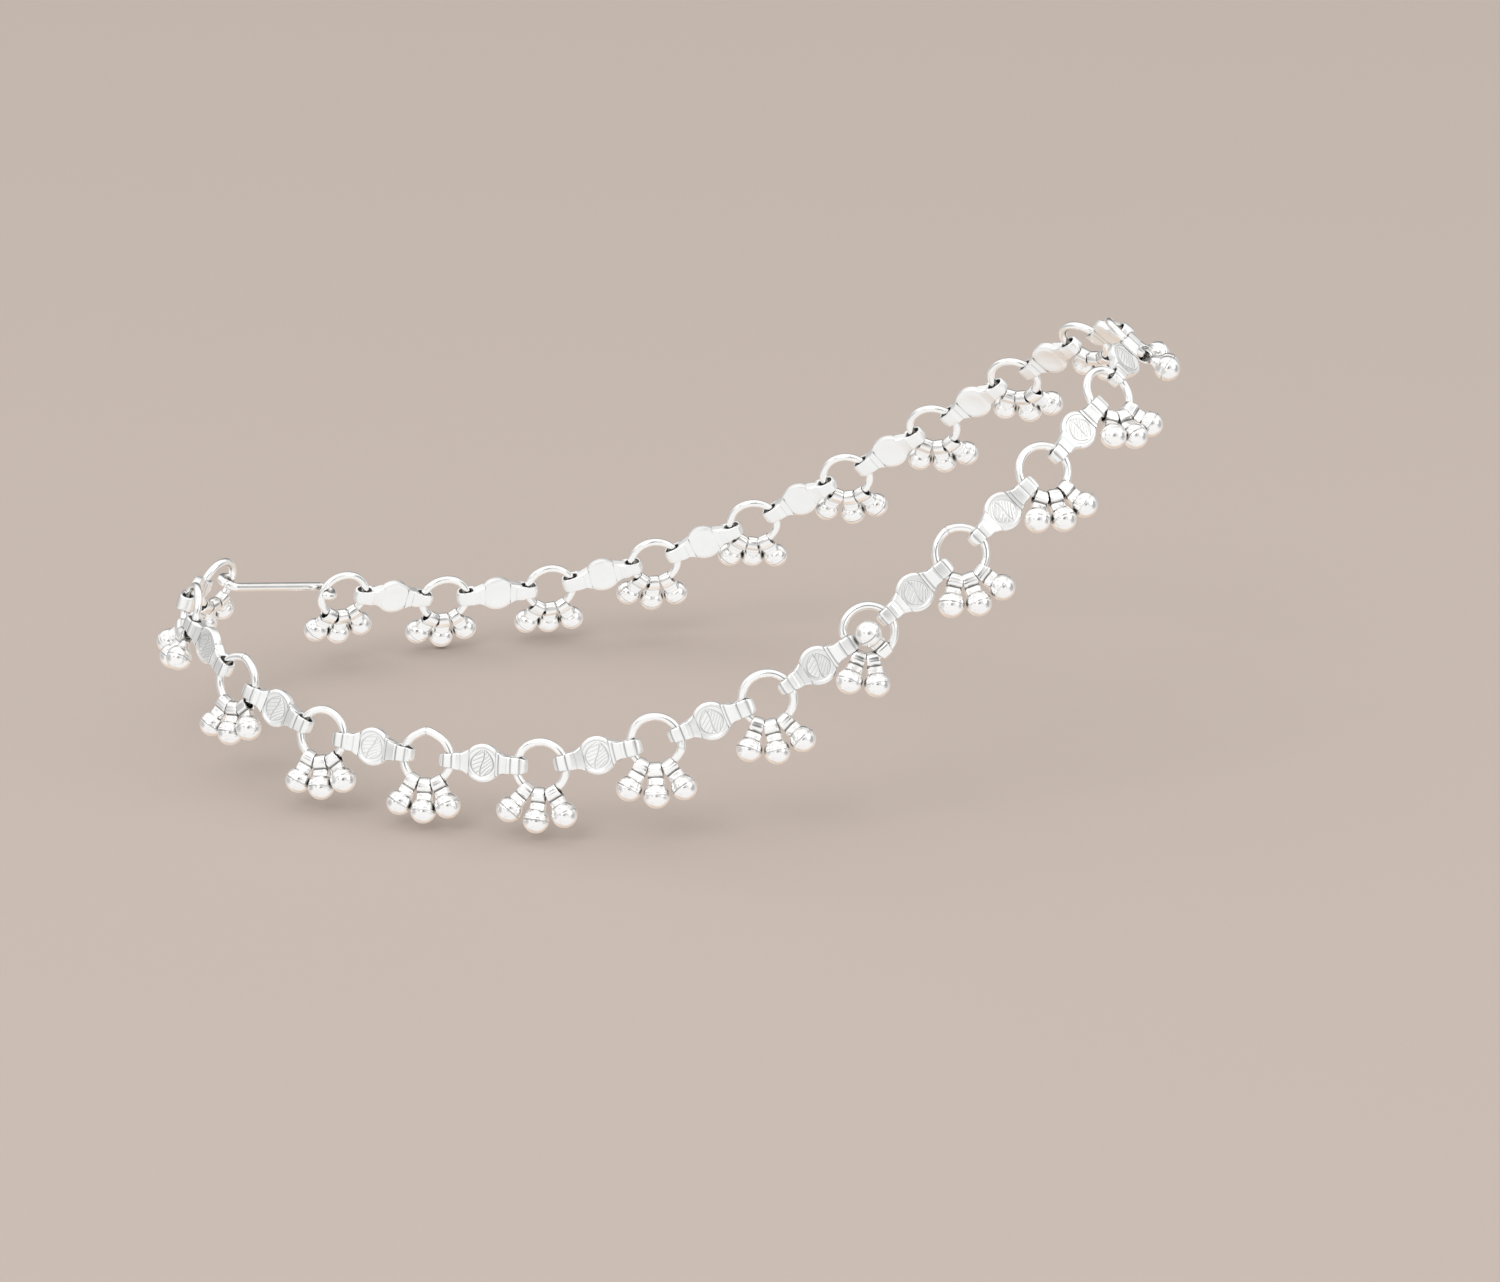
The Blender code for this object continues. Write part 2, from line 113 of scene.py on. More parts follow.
RING_RADIUS = (RING_DIAMETER - RING_WIRE) / 2
PITCH = EYE_SPACING + 2 * RING_RADIUS
WIRE_BOW = RING_RADIUS - math.sqrt(RING_RADIUS ** 2 - (STRAP_TIP_WIDTH / 2) ** 2)
EYE_TIP = RING_WIRE / 2 + WIRE_BOW + EYE_TIP_GAP
EYE_DISC_SIDE = RING_WIRE / 2 + EYE_DISC_GAP
EYE_HALF_HEIGHT = RING_WIRE / 2 + EYE_SIDE_GAP
PLATE_HALF_LENGTH = EYE_SPACING / 2 + EYE_TIP + STRAP_THICKNESS
BALL_RADIUS = BALL_DIAMETER / 2
BALL_DROP = COLLAR_DROP + SKIRT_LENGTH + BALL_RADIUS * math.sin(math.radians(SKIRT_LATITUDE))
BALL_REACH = RING_RADIUS + BALL_DROP * math.cos(math.radians(DROP_TILT))

# Forms that only show here: the ring's wire
WIRE_ROWS, WIRE_COLUMNS = 112, 16
UNEVEN_ORDERS = (2, 3, 5)           # bends in one turn
ROUGH_TURN = 6.28                   # radians
RING_UNEVEN = 0.03 * MM             # of the ring's radius
RING_BEND = 0.05 * MM               # out of the ring's plane
WIRE_UNEVEN = 0.008 * MM
JOINT_FROM, JOINT_TO = 255, 285     # degrees between which a ring is soldered
JOINT_SWELL = 0.035 * MM            # solder at a ring's joint
JOINT_SWELL_WIDTH = 0.42 * MM
JOINT_GROOVE = 0.045 * MM
JOINT_GROOVE_WIDTH = 0.09 * MM
JOINT_SHADE = 0.35
JOINT_SHADE_WIDTH = 0.08 * MM
Kink = namedtuple("Kink", "ring angle height width")
KINKS = (
    Kink(3, 96, 0.16 * MM, 24),
    Kink(7, 158, -0.15 * MM, 16),
    Kink(5, 330, 0.08 * MM, 20),
    Kink(8, 80, 0.05 * MM, 26),
    Kink(1, 100, 0.08 * MM, 22),
)

# Bails
BAIL_ARC_START, BAIL_ARC_END = -20, 200  # degrees, with 90 at the top of the wire
BAIL_ARC_ROWS, BAIL_LEG_ROWS = 23, 10
BAIL_BAND = 0.15 * MM
BAIL_INNER = 0.53 * MM
BAIL_CORNER = 0.05 * MM
BAIL_CROWN = 0.02 * MM
BAIL_CURL = 2.6                     # power by which a leg hangs straight before it turns in
BAIL_WIDEST = 1.10                  # share of the solid's bail width
BAIL_UNEVEN = 0.04                  # share of the width, in waves along the band
BAIL_WAVES, BAIL_PHASES = 9, 6      # radians
BAIL_WAIST = 0.20                   # share by which the band narrows over the wire
BAIL_WAIST_ANGLE = 36               # degrees from the top of the wire, like the fold's
BAIL_FLARE = 0.20                   # share by which the band widens towards the neck
FLARE_START = 0.1 * MM
LEG_INSET = 0.10 * MM
LEG_RISE = 0.20 * MM                # of the inner line's end above the neck's start
PINCH_SHADE = 0.95
PINCH_HIGH, PINCH_LOW = 0.17 * MM, 0.03 * MM
FOLD_SHADE, FOLD_ANGLE, FOLD_WIDTH = 0.55, 44, 9

# Necks and balls
DROP_TWIST = 8                      # degrees either way
DROP_COLUMNS = 32
NECK_STEPS = 20
NECK_START = 0.97 * MM              # below the wire, where both legs of the bail meet
NECK_OVERLAP = 0.05 * MM            # of the neck's top with the bail
SKIRT_OVERLAP = 0.03 * MM           # of the skirt with the ball
NECK_WIDTH = 1.40 * MM
NECK_THICKNESS = 0.66 * MM
SKIRT_WIDTH = 1.70 * MM
SKIRT_THICKNESS = 1.48 * MM
THICKENING_POWER = 1.2
NECK_SWELL = 0.025 * MM
NECK_SWELL_PLACE, NECK_SWELL_WIDTH = 0.28, 0.20
NECK_CREASES = ((0.9, 0, 0.09), (0.10, 0.50, 0.08), (0.18, 0.92, 0.06))  # strength, place and width
ROUND_POWER = 2.0
NECK_SQUARENESS = 1.8               # added to the power at the top of the neck
SEAM_ZONE = math.radians(8)
CAP_ROWS, SEAM_ROWS, BOWL_ROWS = 9, 11, 15
SEAM_HEIGHT = 0.022 * MM
SEAM_GROOVE = 0.014 * MM            # on both sides of the seam
SEAM_WIDTH, GROOVE_PLACE, GROOVE_WIDTH = 0.045, 0.10, 0.035  # radians
SEAM_SHADE_LOWEST, SEAM_SHADE_HIGHEST = 0.6, 1.0
SEAM_SHADE_PLACE = 0.05
BALL_PRESS = 0.012                  # share by which a ball is out of round
BALL_TIP = 0.015 * MM
FADE_LEVEL, FADE_SWING = 0.65, 0.35  # of the shade in a groove, round the drop

# Discs
RIM_RADIUS = 1.56 * MM
RIM_FLAT = 0.05 * MM
FIELD_RADIUS = 1.42 * MM
FIELD_DEPTH = 0.08 * MM
DISC_EDGE = 0.30 * MM               # half thickness of the disc's edge
DISC_BULGE = 0.02 * MM
DISC_DISH = 0.08 * MM               # hollow of its back
DISH_MIDDLE = 0.2                   # share of the radius that is hollow to the full depth
DISC_SECTORS = 112
DISC_TOP = np.linspace(0.03, 0.90, 38)  # rows of points, as shares of the radius
DISC_ROUNDING = (0.925, 0.95, 0.97, 0.985, 0.995, 1.0)
DISC_BACK_STEP = 4                  # the plain back has one of so many rows
DISC_TWIST = 2.5                    # degrees either way
LEAF_LENGTH = 2.65 * MM
LEAF_WIDTH = 2.30 * MM
LEAF_SKEW, LEAF_BLUNTNESS = 0.9, 0.75
LEAF_ENDS = 0.02                    # share of the length without an outline, at both points
LEAF_RISE = 0.05 * MM
LEAF_TURN_LEAST, LEAF_TURN_MOST = 62, 108
LEAST_WIDTH = 0.001 * MM
RIB_BEND = 0.10 * MM
VEIN_STEP = 0.48 * MM
VEIN_SLOPE_BELOW, VEIN_SLOPE_ABOVE = 1.3, 0.7
VEIN_ENDS = (0.05, 0.22)            # shares of the half width between which the veins fade in
VEIN_SHADE = 0.85
LINE_WIDTH = 0.062 * MM             # of the stamped lines, from the middle to the edge
OUTLINE_WIDTH = LINE_WIDTH * 1.2
VEIN_WIDTH = LINE_WIDTH * 0.75
RIB_CLEARANCE = LINE_WIDTH * 2.5
LINE_DEPTH = 0.035 * MM
LINE_SHADE = 0.55
LINE_SHADES = {3: 0.40, 4: 0.75, 5: 0.50, 6: 0.55, 7: 0.65, 8: 0.65, 9: 0.40}  # by plate number
RIM_LINE_SHADE = 0.35
ROOT_LINE_SHADE_FRONT, ROOT_LINE_SHADE_REAR = 0.7, 0.3
ROOT_LINE_INSET = 0.05 * MM

# Straps
STRAP_START = 1.40 * MM             # straight line across the disc where a strap begins
STRAP_NARROWS = 2.15 * MM           # where it has come down from the disc to its own width
STRAP_ROOT_RISE = 0.03 * MM
BLOCK_START = 2.52 * MM
BLOCK_STEP, BLOCK_RAMP = 0.04 * MM, 0.07 * MM
STRAP_ROWS, BLOCK_ROWS, TIP_STEPS, ROOT_STEPS = 24, 3, 16, 4
TIP_DEPTH = 0.95                    # share of the height
TIP_POWER, EYE_POWER = 0.9, 0.75    # below 1, the curve is squarer than an ellipse
STRAP_CORNER = 0.14 * MM
STRAP_CROWN = 0.03 * MM
ROOT_SPREAD = 0.10 * MM
ROOT_POWER = 1.4
BODY_NARROWEST = 0.95               # widths are shares of the solid's strap
NARROW_TIPS, WIDE_TIPS = (0.76, 0.86), (0.86, 0.98)
TIP_ROUNDING_LENGTH, TIP_ROUNDING = 0.8 * MM, 0.30 * MM
CREASE_SHIFT = 0.10                 # mm either way
CREASE_FAINTEST = 0.7
Crease = namedtuple("Crease", "x depth width shade")
STRAP_CREASES = {
    -1: (Crease(2.07 * MM, 0.015 * MM, 0.06 * MM, 0.35), Crease(3.05 * MM, 0.050 * MM, 0.07 * MM, 0.95),
         Crease(3.98 * MM, 0.050 * MM, 0.09 * MM, 0.80)),
    1: (Crease(1.62 * MM, 0.050 * MM, 0.07 * MM, 0.85), Crease(2.88 * MM, 0.050 * MM, 0.07 * MM, 0.95),
        Crease(3.92 * MM, 0.045 * MM, 0.09 * MM, 0.75)),
}
TAIL_START = STRAP_START + 0.01 * MM
TAIL_END = 2.0 * MM                 # where the folded strap stops on the back
TAIL_EDGE = 0.03 * MM
TAIL_STEP = 0.10 * MM

# Hook
HOOK_CURL_STEPS, HOOK_BAR_STEPS, HOOK_COLUMNS = 48, 16, 24
HOOK_TIP = 0.35                     # share of the wire's thickness
HOOK_TAPER = 0.35 * MM

# All meshes
SHARP_ANGLE = math.radians(50)
CORNER_SHARE = 0.42                 # largest corner of a band, as a share of its thickness
FLAT_FROM = 0.99                    # sine of a band's corner angle on its flat faces
BELL_SEED, PLATE_SEED = 100, 500

# Metal
# The second colour of a finish is the painted shade colour for grooves and crevices.
Finish = namedtuple("Finish", "colour recess roughness spread grain wave")
POLISHED = Finish((0.97, 0.965, 0.95), (0.30, 0.29, 0.28), 0.10, 0.10, 0.20, 0.15)
BELL = Finish((0.97, 0.96, 0.945), (0.28, 0.27, 0.26), 0.15, 0.10, 0.12, 0.10)
STAMPED = Finish((0.98, 0.98, 0.97), (0.26, 0.26, 0.26), 0.32, 0.10, 0.35, 0.25)
Noise = namedtuple("Noise", "scale detail roughness")
PATCHES = Noise(420, 3, 0.6)
GRAIN = Noise(9000, 2, 0.7)
WAVES = Noise(900, 1, 0.5)
GRAIN_HEIGHT, WAVE_HEIGHT = 0.012 * MM, 0.08 * MM
# Painted shade in crevices, found by ambient occlusion
CREVICE_REACH, CREVICE_SAMPLES = 0.45 * MM, 8
CREVICE_CLOSED, CREVICE_OPEN = 0.25, 0.85
STAIN_LOW, STAIN_HIGH, STAIN_DARKEST = 0.35, 0.7, 0.96
POLISH_LOW, POLISH_HIGH = 0.3, 0.7

# Camera and floor
CAMERA_TARGET = Vector((9.686, 0, -8.747)) * MM
CAMERA_AZIMUTH = 0.955
CAMERA_ELEVATION = 20
CAMERA_DISTANCE = 0.45
CAMERA_LENS = 106.1
CAMERA_SENSOR = 36
CAMERA_NEAR, CAMERA_FAR = 0.01, 20
FLOOR_Z = -18.9 * MM
FLOOR_HALF = 3.0
FLOOR_COLOUR = (0.52, 0.44, 0.39, 1)
FLOOR_ROUGHNESS = 0.85

# Light. Each pair says from which value to which a shade or the brightness grows: distances between
# unit vectors, heights or sideways shares of a direction, or values of the noise.
Light = namedtuple("Light", "name place size radiance colour")
LIGHTS = (
    Light("key", (-0.30, -0.45, 0.55), (0.45, 0.30), 2.2, (1, 0.99, 0.97)),
    Light("side", (0.60, -0.30, 0.30), (0.35, 0.35), 1.2, (1, 1, 1)),
)
TENT_LOW = 1.00                     # brightness at the horizon
TENT_HIGH = 1.12
TENT_HIGH_ENDS = (0.0, 0.6)
TENT_DARKEST = 0.10
TENT_BACK_SHADE, TENT_BACK_ENDS = 0.62, (1.28, 0.55)
TENT_SIDE_SHADE, TENT_SIDE_ENDS = 0.42, (0.85, 0.985)
TENT_FLOOR_SHADE, TENT_FLOOR_ENDS = 0.03, (-0.35, -0.85)
TENT_PATCH_SHADE, TENT_PATCH_ENDS = 0.85, (0.27, 0.12)
TENT_PATCH_ELEVATION = 24
TENT_PATCH_SIDE = 0.05
TENT_SPOTS = Noise(1.5, 0.8, 0.5)
TENT_SPOT_SHADE, TENT_SPOT_ENDS = 0.38, (0.52, 0.62)
TENT_SPOT_LOW_SHARE, TENT_SPOT_HEIGHTS = 0.35, (0.12, 0.38)
TENT_BAND_SHADE = 0.50
TENT_BAND_INNER, TENT_BAND_OUTER = (0.54, 0.66), (0.92, 0.78)
TENT_BAND_BREAKS = (0.42, 0.56)
TENT_BAND_HEIGHTS, TENT_BAND_SIDES = (0.10, 0.30), (0.40, 0.10)
TENT_WARM = (1, 0.84, 0.72, 1)
TENT_WARM_FROM, TENT_WARM_ENDS = Vector((0, 0.64, -0.77)), (1.05, 0.55)
TENT_WARM_LIFT = 0.8                # share of the grey outline that the warm light takes away

Link = namedtuple("Link", "start end axes")
Ring = namedtuple("Ring", "centre axes")


def chord_angle(chord, radius):
    return 2 * math.degrees(math.asin(chord / 2 / radius))


def disc_angle():
    """Angle round a ring between a disc beside it and a ball that just clears that disc."""
    away = RING_RADIUS + EYE_SPACING / 2
    apart = (DISC_DIAMETER + BALL_DIAMETER) / 2 + DISC_GAP
    cosine = (BALL_REACH ** 2 + away ** 2 - apart ** 2) / (2 * BALL_REACH * away)
    return math.degrees(math.acos(cosine))


BAIL_STEP = chord_angle(BAIL_WIDTH + BAIL_PLAY, RING_RADIUS)
BALL_STEP = chord_angle(BALL_DIAMETER + BALL_PLAY, BALL_REACH)
EYE_ANGLE = chord_angle(STRAP_TIP_WIDTH, RING_RADIUS)
BAIL_ANGLE = chord_angle(BAIL_WIDTH, RING_RADIUS)
BAIL_MARGIN = (EYE_ANGLE + BAIL_ANGLE) / 2 + BAIL_CLEARANCE
BALL_MARGIN = disc_angle()


# The part's own route and places


def route_point(angle):
    across = math.sin(angle) * (1 + ROUTE_FRONT_FULLNESS * math.cos(angle))
    height = (ROUTE_TILT * math.cos(angle) + ROUTE_SADDLE * math.cos(2 * angle)
              + ROUTE_SHOULDER * math.cos(3 * angle))
    return Vector((math.cos(angle), ROUTE_WIDTH * across, height))


def measure_route():
    angles = [-math.pi + 2 * math.pi * k / ROUTE_SAMPLES for k in range(ROUTE_SAMPLES + 1)]
    points = [route_point(angle) for angle in angles]
    distances = [0.0]
    for before, after in zip(points, points[1:]):
        distances.append(distances[-1] + (after - before).length)
    return angles, distances


ROUTE_ANGLES, ROUTE_DISTANCES = measure_route()
ROUTE_LENGTH = ROUTE_DISTANCES[-1]


def angle_at(distance):
    distance %= ROUTE_LENGTH
    low, high = 0, ROUTE_SAMPLES
    while high - low > 1:
        middle = (low + high) // 2
        if ROUTE_DISTANCES[middle] > distance:
            high = middle
        else:
            low = middle
    part = (distance - ROUTE_DISTANCES[low]) / (ROUTE_DISTANCES[high] - ROUTE_DISTANCES[low])
    return ROUTE_ANGLES[low] + part * (ROUTE_ANGLES[high] - ROUTE_ANGLES[low])


def axes_matrix(x_axis, y_axis, z_axis):
    return Matrix((x_axis, y_axis, z_axis)).transposed()


def ring_axes(angle):
    step = math.pi / ROUTE_SAMPLES
    along = (route_point(angle + step) - route_point(angle - step)).normalized()
    outward = along.cross(UP).normalized()
    front, back = max(0, math.cos(angle)) ** 2, max(0, -math.cos(angle)) ** 2
    lean = math.radians(LEAN_SIDE + (LEAN_INSTEP - LEAN_SIDE) * front + (LEAN_HEEL - LEAN_SIDE) * back)
    facing = outward * math.cos(lean) + outward.cross(along) * math.sin(lean)
    return axes_matrix(along, facing.cross(along), facing)


def ring_row(index):
    if index < len(RING_ROWS):
        return RING_ROWS[index]
    chance = random.Random(IRREGULARITY_SEED + index)
    return RingRow(0, *(chance.uniform(-IRREGULARITY, IRREGULARITY) for _ in range(4)))


def point_on_ring(ring, target):
    facing = ring.axes.col[2]
    aim = target - ring.centre
    aim -= facing * aim.dot(facing)
    return ring.centre + aim.normalized() * RING_RADIUS


def lay_rings(steps, scale):
    rings = []
    distance = ROUTE_START * PITCH
    for index, step in enumerate(steps):
        angle = angle_at(distance / scale)
        centre = route_point(angle) * scale + UP * (ring_row(index).lift * RING_DIAMETER)
        rings.append(Ring(centre, ring_axes(angle)))
        distance += step
    return rings


def settle_chain():
    spans = [HOOK_SPAN if index == HOOKED_RING else EYE_SPACING for index in range(RING_COUNT)]
    steps = [span + 2 * RING_RADIUS for span in spans]
    for _ in range(SETTLING_ROUNDS):
        rings = lay_rings(steps, sum(steps) / ROUTE_LENGTH)
        for index, ring in enumerate(rings):
            following = rings[(index + 1) % RING_COUNT]
            start = point_on_ring(ring, following.centre)
            end = point_on_ring(following, ring.centre)
            steps[index] += spans[index] - (end - start).length
    return rings


def link_between(ring, following):
    start = point_on_ring(ring, following.centre)
    end = point_on_ring(following, ring.centre)
    along = (end - start).normalized()
    across = Vector((0, 0, 0))
    for owner, point in ((ring, start), (following, end)):
        wire = owner.axes.col[2].cross(point - owner.centre).normalized()
        across += wire if wire.dot(owner.axes.col[1]) > 0 else -wire
    across = (across - along * across.dot(along)).normalized()
    return Link(start, end, axes_matrix(along, across, along.cross(across)))


def in_ring_plane(angle):
    turn = math.radians(angle)
    return Vector((math.sin(turn), -math.cos(turn), 0))


def tilted(direction, tilt):
    return direction * math.cos(tilt) + FACING * math.sin(tilt)


def angle_round_ring(ring, point):
    place = ring.axes.transposed() @ (point - ring.centre)
    return math.degrees(math.atan2(place.x, -place.y))


def clamp(value, low, high):
    return max(low, min(high, value))


def swing_towards(bail, ball):
    return bail + (ball - bail) * BALL_REACH / (BALL_REACH - RING_RADIUS)


def ball_centre(wire, flat, tilt):
    return wire + tilted(flat, tilt) * BALL_DROP


def lean_out(places):
    wire, _, flat, tilt = places[1]
    others = [ball_centre(place[0], *place[2:]) for place in (places[0], places[2])]

    def nearest():
        return min((ball_centre(wire, flat, tilt) - ball).length for ball in others)

    while nearest() < BALL_DIAMETER + BALL_GAP:
        tilt += LEAN_STEP
    return tilt


def spread_balls(middle, row, first, last):
    """Angles round the ring of the three balls, which lie between the discs beside them."""
    share = (BALL_REACH - RING_RADIUS) / BALL_REACH
    rear = clamp(middle - BALL_STEP + row.rear * share, first, last)
    front = clamp(middle + BALL_STEP + row.front * share, first, last)
    low, high = rear + BALL_STEP, front - BALL_STEP
    if low > high:
        low = high = (low + high) / 2
    return rear, clamp(middle + row.middle * share, low, high), front


def drop_places(index, ring, rear, front):
    """Wire point, wire direction and hanging direction of each drop, in the ring's own axes.

    The drops hang between the pieces that join the ring at the rear and front angles.
    """
    row = ring_row(index)
    pull = angle_round_ring(ring, ring.centre + DOWN)
    middle = clamp(pull + row.turn, rear + BAIL_MARGIN + BAIL_STEP, front - BAIL_MARGIN - BAIL_STEP)
    balls = spread_balls(middle, row, rear + BALL_MARGIN, front - BALL_MARGIN)
    places = []
    for side, ball, swing in zip((-1, 0, 1), balls, (row.rear, row.middle, row.front)):
        bail = middle + side * BAIL_STEP
        hang, tilt = swing_towards(bail, ball), DROP_TILT
        if abs(swing) > FOLDED_FROM:
            hang, tilt = bail + swing, FOLDED_TILT
        wire, along = in_ring_plane(bail) * RING_RADIUS, in_ring_plane(bail + 90)
        places.append([wire, along, in_ring_plane(hang), math.radians(tilt)])
    places[1][3] = lean_out(places)
    return [(wire, along, tilted(flat, tilt)) for wire, along, flat, tilt in places]


# Meshes


class Shape:
    """Collects closed shells and makes one mesh object of them."""

    def __init__(self):
        self.points, self.faces, self.kinds, self.recesses, self.count = [], [], [], [], 0

    def add(self, grid, kind=0, round_rows=False, ends=(), recess=0.0):
        """Skin over rows of points. Each row is closed; ends are the points that close an open shell.

        The last argument is painted shade in grooves and creases: how dark each point is painted, from 0 to
        1.
        """
        rows, columns = grid.shape[:2]
        base = self.count
        self.points.append(grid.reshape(-1, 3))
        self.recesses.append(np.broadcast_to(recess, (rows, columns)).reshape(-1))
        self.count += rows * columns
        following = np.arange(1, columns + 1) % columns
        here = np.arange(columns)
        for row in range(rows if round_rows else rows - 1):
            a = base + row * columns
            b = base + ((row + 1) % rows) * columns
            self.faces += np.stack([a + here, a + following, b + following, b + here], 1).tolist()
        for end, row in zip(ends, (0, rows - 1)):
            self.points.append(np.array(end, float).reshape(1, 3))
            self.recesses.append(np.zeros(1))
            a = base + row * columns
            self.faces += np.stack([a + here, a + following, np.full(columns, self.count)], 1).tolist()
            self.count += 1
        self.kinds += [kind] * (len(self.faces) - len(self.kinds))

    def make(self, name, materials):
        mesh = bpy.data.meshes.new(name)
        mesh.from_pydata(np.concatenate(self.points).tolist(), [], self.faces)
        for material in materials:
            mesh.materials.append(material)
        mesh.polygons.foreach_set("material_index", self.kinds)
        # Painted shade in grooves and creases, which the metal material mixes into its colour.
        groove_shade = mesh.attributes.new("groove_shade", "FLOAT", "POINT")
        groove_shade.data.foreach_set("value", np.clip(np.concatenate(self.recesses), 0, 1))
        cleaner = bmesh.new()
        cleaner.from_mesh(mesh)
        bmesh.ops.recalc_face_normals(cleaner, faces=cleaner.faces)
        cleaner.to_mesh(mesh)
        cleaner.free()
        mesh.shade_smooth()
        mesh.set_sharp_from_angle(angle=SHARP_ANGLE)
        item = bpy.data.objects.new(name, mesh)
        bpy.context.scene.collection.objects.link(item)
        return item


def moved(grid, matrix):
    """The points of a grid, carried by a 4 x 4 matrix."""
    m = np.array(matrix)
    return grid @ m[:3, :3].T + m[:3, 3]


def bell_curve(distance, width):
    return np.exp(-(distance / width) ** 2)


def smooth_step(low, high, value):
    t = np.clip((value - low) / (high - low), 0, 1)
    return t * t * (3 - 2 * t)


def signed_power(value, power):
    return np.sign(value) * np.abs(value) ** power


def wobble(turn, chance, amount):
    """Slight unevenness round a circle."""
    total = np.zeros_like(turn)
    for order in UNEVEN_ORDERS:
        strength = math.sin(chance.uniform(0, ROUGH_TURN))
        total += strength * np.sin(order * turn + chance.uniform(0, ROUGH_TURN)) / order
    return amount * total


def off_angle(turn, place):
    """Signed angle from a place on a circle, at most half a turn either way."""
    return (turn - place + math.pi) % (2 * math.pi) - math.pi


def add_wire(shape, index, chance):
    """The round ring, with the slight bends of handwork and its soldered joint."""
    turn = np.linspace(0, 2 * math.pi, WIRE_ROWS, endpoint=False)
    side = np.linspace(0, 2 * math.pi, WIRE_COLUMNS, endpoint=False)
    reach = RING_RADIUS + wobble(turn, chance, RING_UNEVEN)
    joint = math.radians(chance.uniform(JOINT_FROM, JOINT_TO))
    for kink in KINKS:
        if kink.ring == index:
            off = np.degrees(np.abs(off_angle(turn, math.radians(kink.angle))))
            reach += kink.height * np.clip(1 - off / kink.width, 0, 1)
            joint = math.radians(kink.angle)
    off = off_angle(turn, joint) * RING_RADIUS
    thick = RING_WIRE / 2 + JOINT_SWELL * bell_curve(off, JOINT_SWELL_WIDTH)
    thick -= JOINT_GROOVE * bell_curve(off, JOINT_GROOVE_WIDTH)
    thick += wobble(turn, chance, WIRE_UNEVEN)
    lift = wobble(turn, chance, RING_BEND)
    out = reach[:, None] + thick[:, None] * np.cos(side)
    grid = np.stack([out * np.cos(turn)[:, None], out * np.sin(turn)[:, None],
                     lift[:, None] + thick[:, None] * np.sin(side)], -1)
    shade = JOINT_SHADE * bell_curve(off, JOINT_SHADE_WIDTH)
    shape.add(grid, 0, round_rows=True, recess=shade[:, None])


def section_columns(flat_points, arc_points):
    """Unit description of a rounded rectangle: side factors and corner angle of each point."""
    columns = []
    for corner, (kx, kz) in enumerate(((1, 1), (-1, 1), (-1, -1), (1, -1))):
        for k in range(arc_points + 1):
            columns.append((kx, kz, math.pi / 2 * (corner + k / arc_points)))
        if corner in (0, 2):
            for k in range(1, flat_points):
                part = k / flat_points
                columns.append((kx * (1 - 2 * part), kz, math.pi / 2 * (corner + 1)))
    return np.array(columns)


BAND_SECTION = section_columns(5, 3)
STRAP_SECTION = section_columns(6, 3)


def band_grid(inner, outer, half_width, corner, section, crown):
    """A band that runs along a closed path, between an inner and an outer line in the x, z plane.

    half_width gives half the band's width, as a function of x or one value for each row.
    """
    across = outer - inner
    thick = np.linalg.norm(across, axis=1)
    direction = across / thick[:, None]
    corner = np.minimum(corner, thick * CORNER_SHARE)[:, None]
    kx, kz, turn = section.T
    high = kz * (thick[:, None] / 2 - corner) + corner * np.sin(turn)
    high += crown * np.where(kz > 0, 1 - kx ** 2, 0) * (np.abs(np.sin(turn)) > FLAT_FROM)
    middle = (inner + outer) / 2
    place = middle[:, None, :] + direction[:, None, :] * high[:, :, None]
    half = half_width(place[..., 0]) if callable(half_width) else half_width[:, None]
    side = kx * (half - corner) + corner * np.cos(turn)
    return np.stack([place[..., 0], side, place[..., 1]], -1)


def bail_lines():
    """Inner and outer line of a bail, seen along the wire: over it, then down both legs."""
    centre = np.array([0, RING_WIRE / 2 - BAIL_INNER])
    arc = np.radians(np.linspace(BAIL_ARC_START, BAIL_ARC_END, BAIL_ARC_ROWS))
    round_line = np.stack([np.cos(arc), np.sin(arc)], 1)
    arc_in = BAIL_INNER * round_line + centre
    arc_out = arc_in + BAIL_BAND * round_line
    part = np.linspace(0, 1, BAIL_LEG_ROWS)[1:, None]
    turn_in = np.concatenate([part ** BAIL_CURL, part], 1)
    end_in = np.array([-LEG_INSET, LEG_RISE - NECK_START])
    end_out = np.array([-NECK_THICKNESS / 2, -NECK_START])
    mirror = np.array([-1, 1])
    lines = []
    for over, end in ((arc_in, end_in), (arc_out, end_out)):
        leg = over[-1] + (end - over[-1]) * turn_in
        lines.append(np.concatenate([over, leg, (leg * mirror)[::-1]]))
    from_top = np.full(len(lines[0]), 180.0)
    from_top[:BAIL_ARC_ROWS] = np.abs(np.degrees(arc) - 90)
    return *lines, from_top


BAIL_LINE_IN, BAIL_LINE_OUT, BAIL_FROM_TOP = bail_lines()


def add_bail(shape, chance, carry, width):
    """Flat band folded over the wire. Local x is the depth axis, y runs along the wire, z is up."""
    height = BAIL_LINE_OUT[:, 1]
    wave = np.linspace(0, BAIL_WAVES, len(height)) + chance.uniform(0, BAIL_PHASES)
    uneven = 1 + BAIL_UNEVEN * np.sin(wave) - BAIL_WAIST * bell_curve(BAIL_FROM_TOP, BAIL_WAIST_ANGLE)
    uneven += BAIL_FLARE * smooth_step(FLARE_START, LEG_RISE - NECK_START, height)
    grid = band_grid(BAIL_LINE_IN, BAIL_LINE_OUT, width / 2 * uneven, BAIL_CORNER, BAND_SECTION, BAIL_CROWN)
    # Painted shade where the band pinches into the neck and along its fold over the wire.
    painted_pinch = PINCH_SHADE * smooth_step(PINCH_HIGH - NECK_START, PINCH_LOW - NECK_START, height)
    painted_fold = FOLD_SHADE * bell_curve(BAIL_FROM_TOP - FOLD_ANGLE, FOLD_WIDTH)
    shape.add(moved(grid, carry), 1, round_rows=True, recess=(painted_pinch + painted_fold)[:, None])


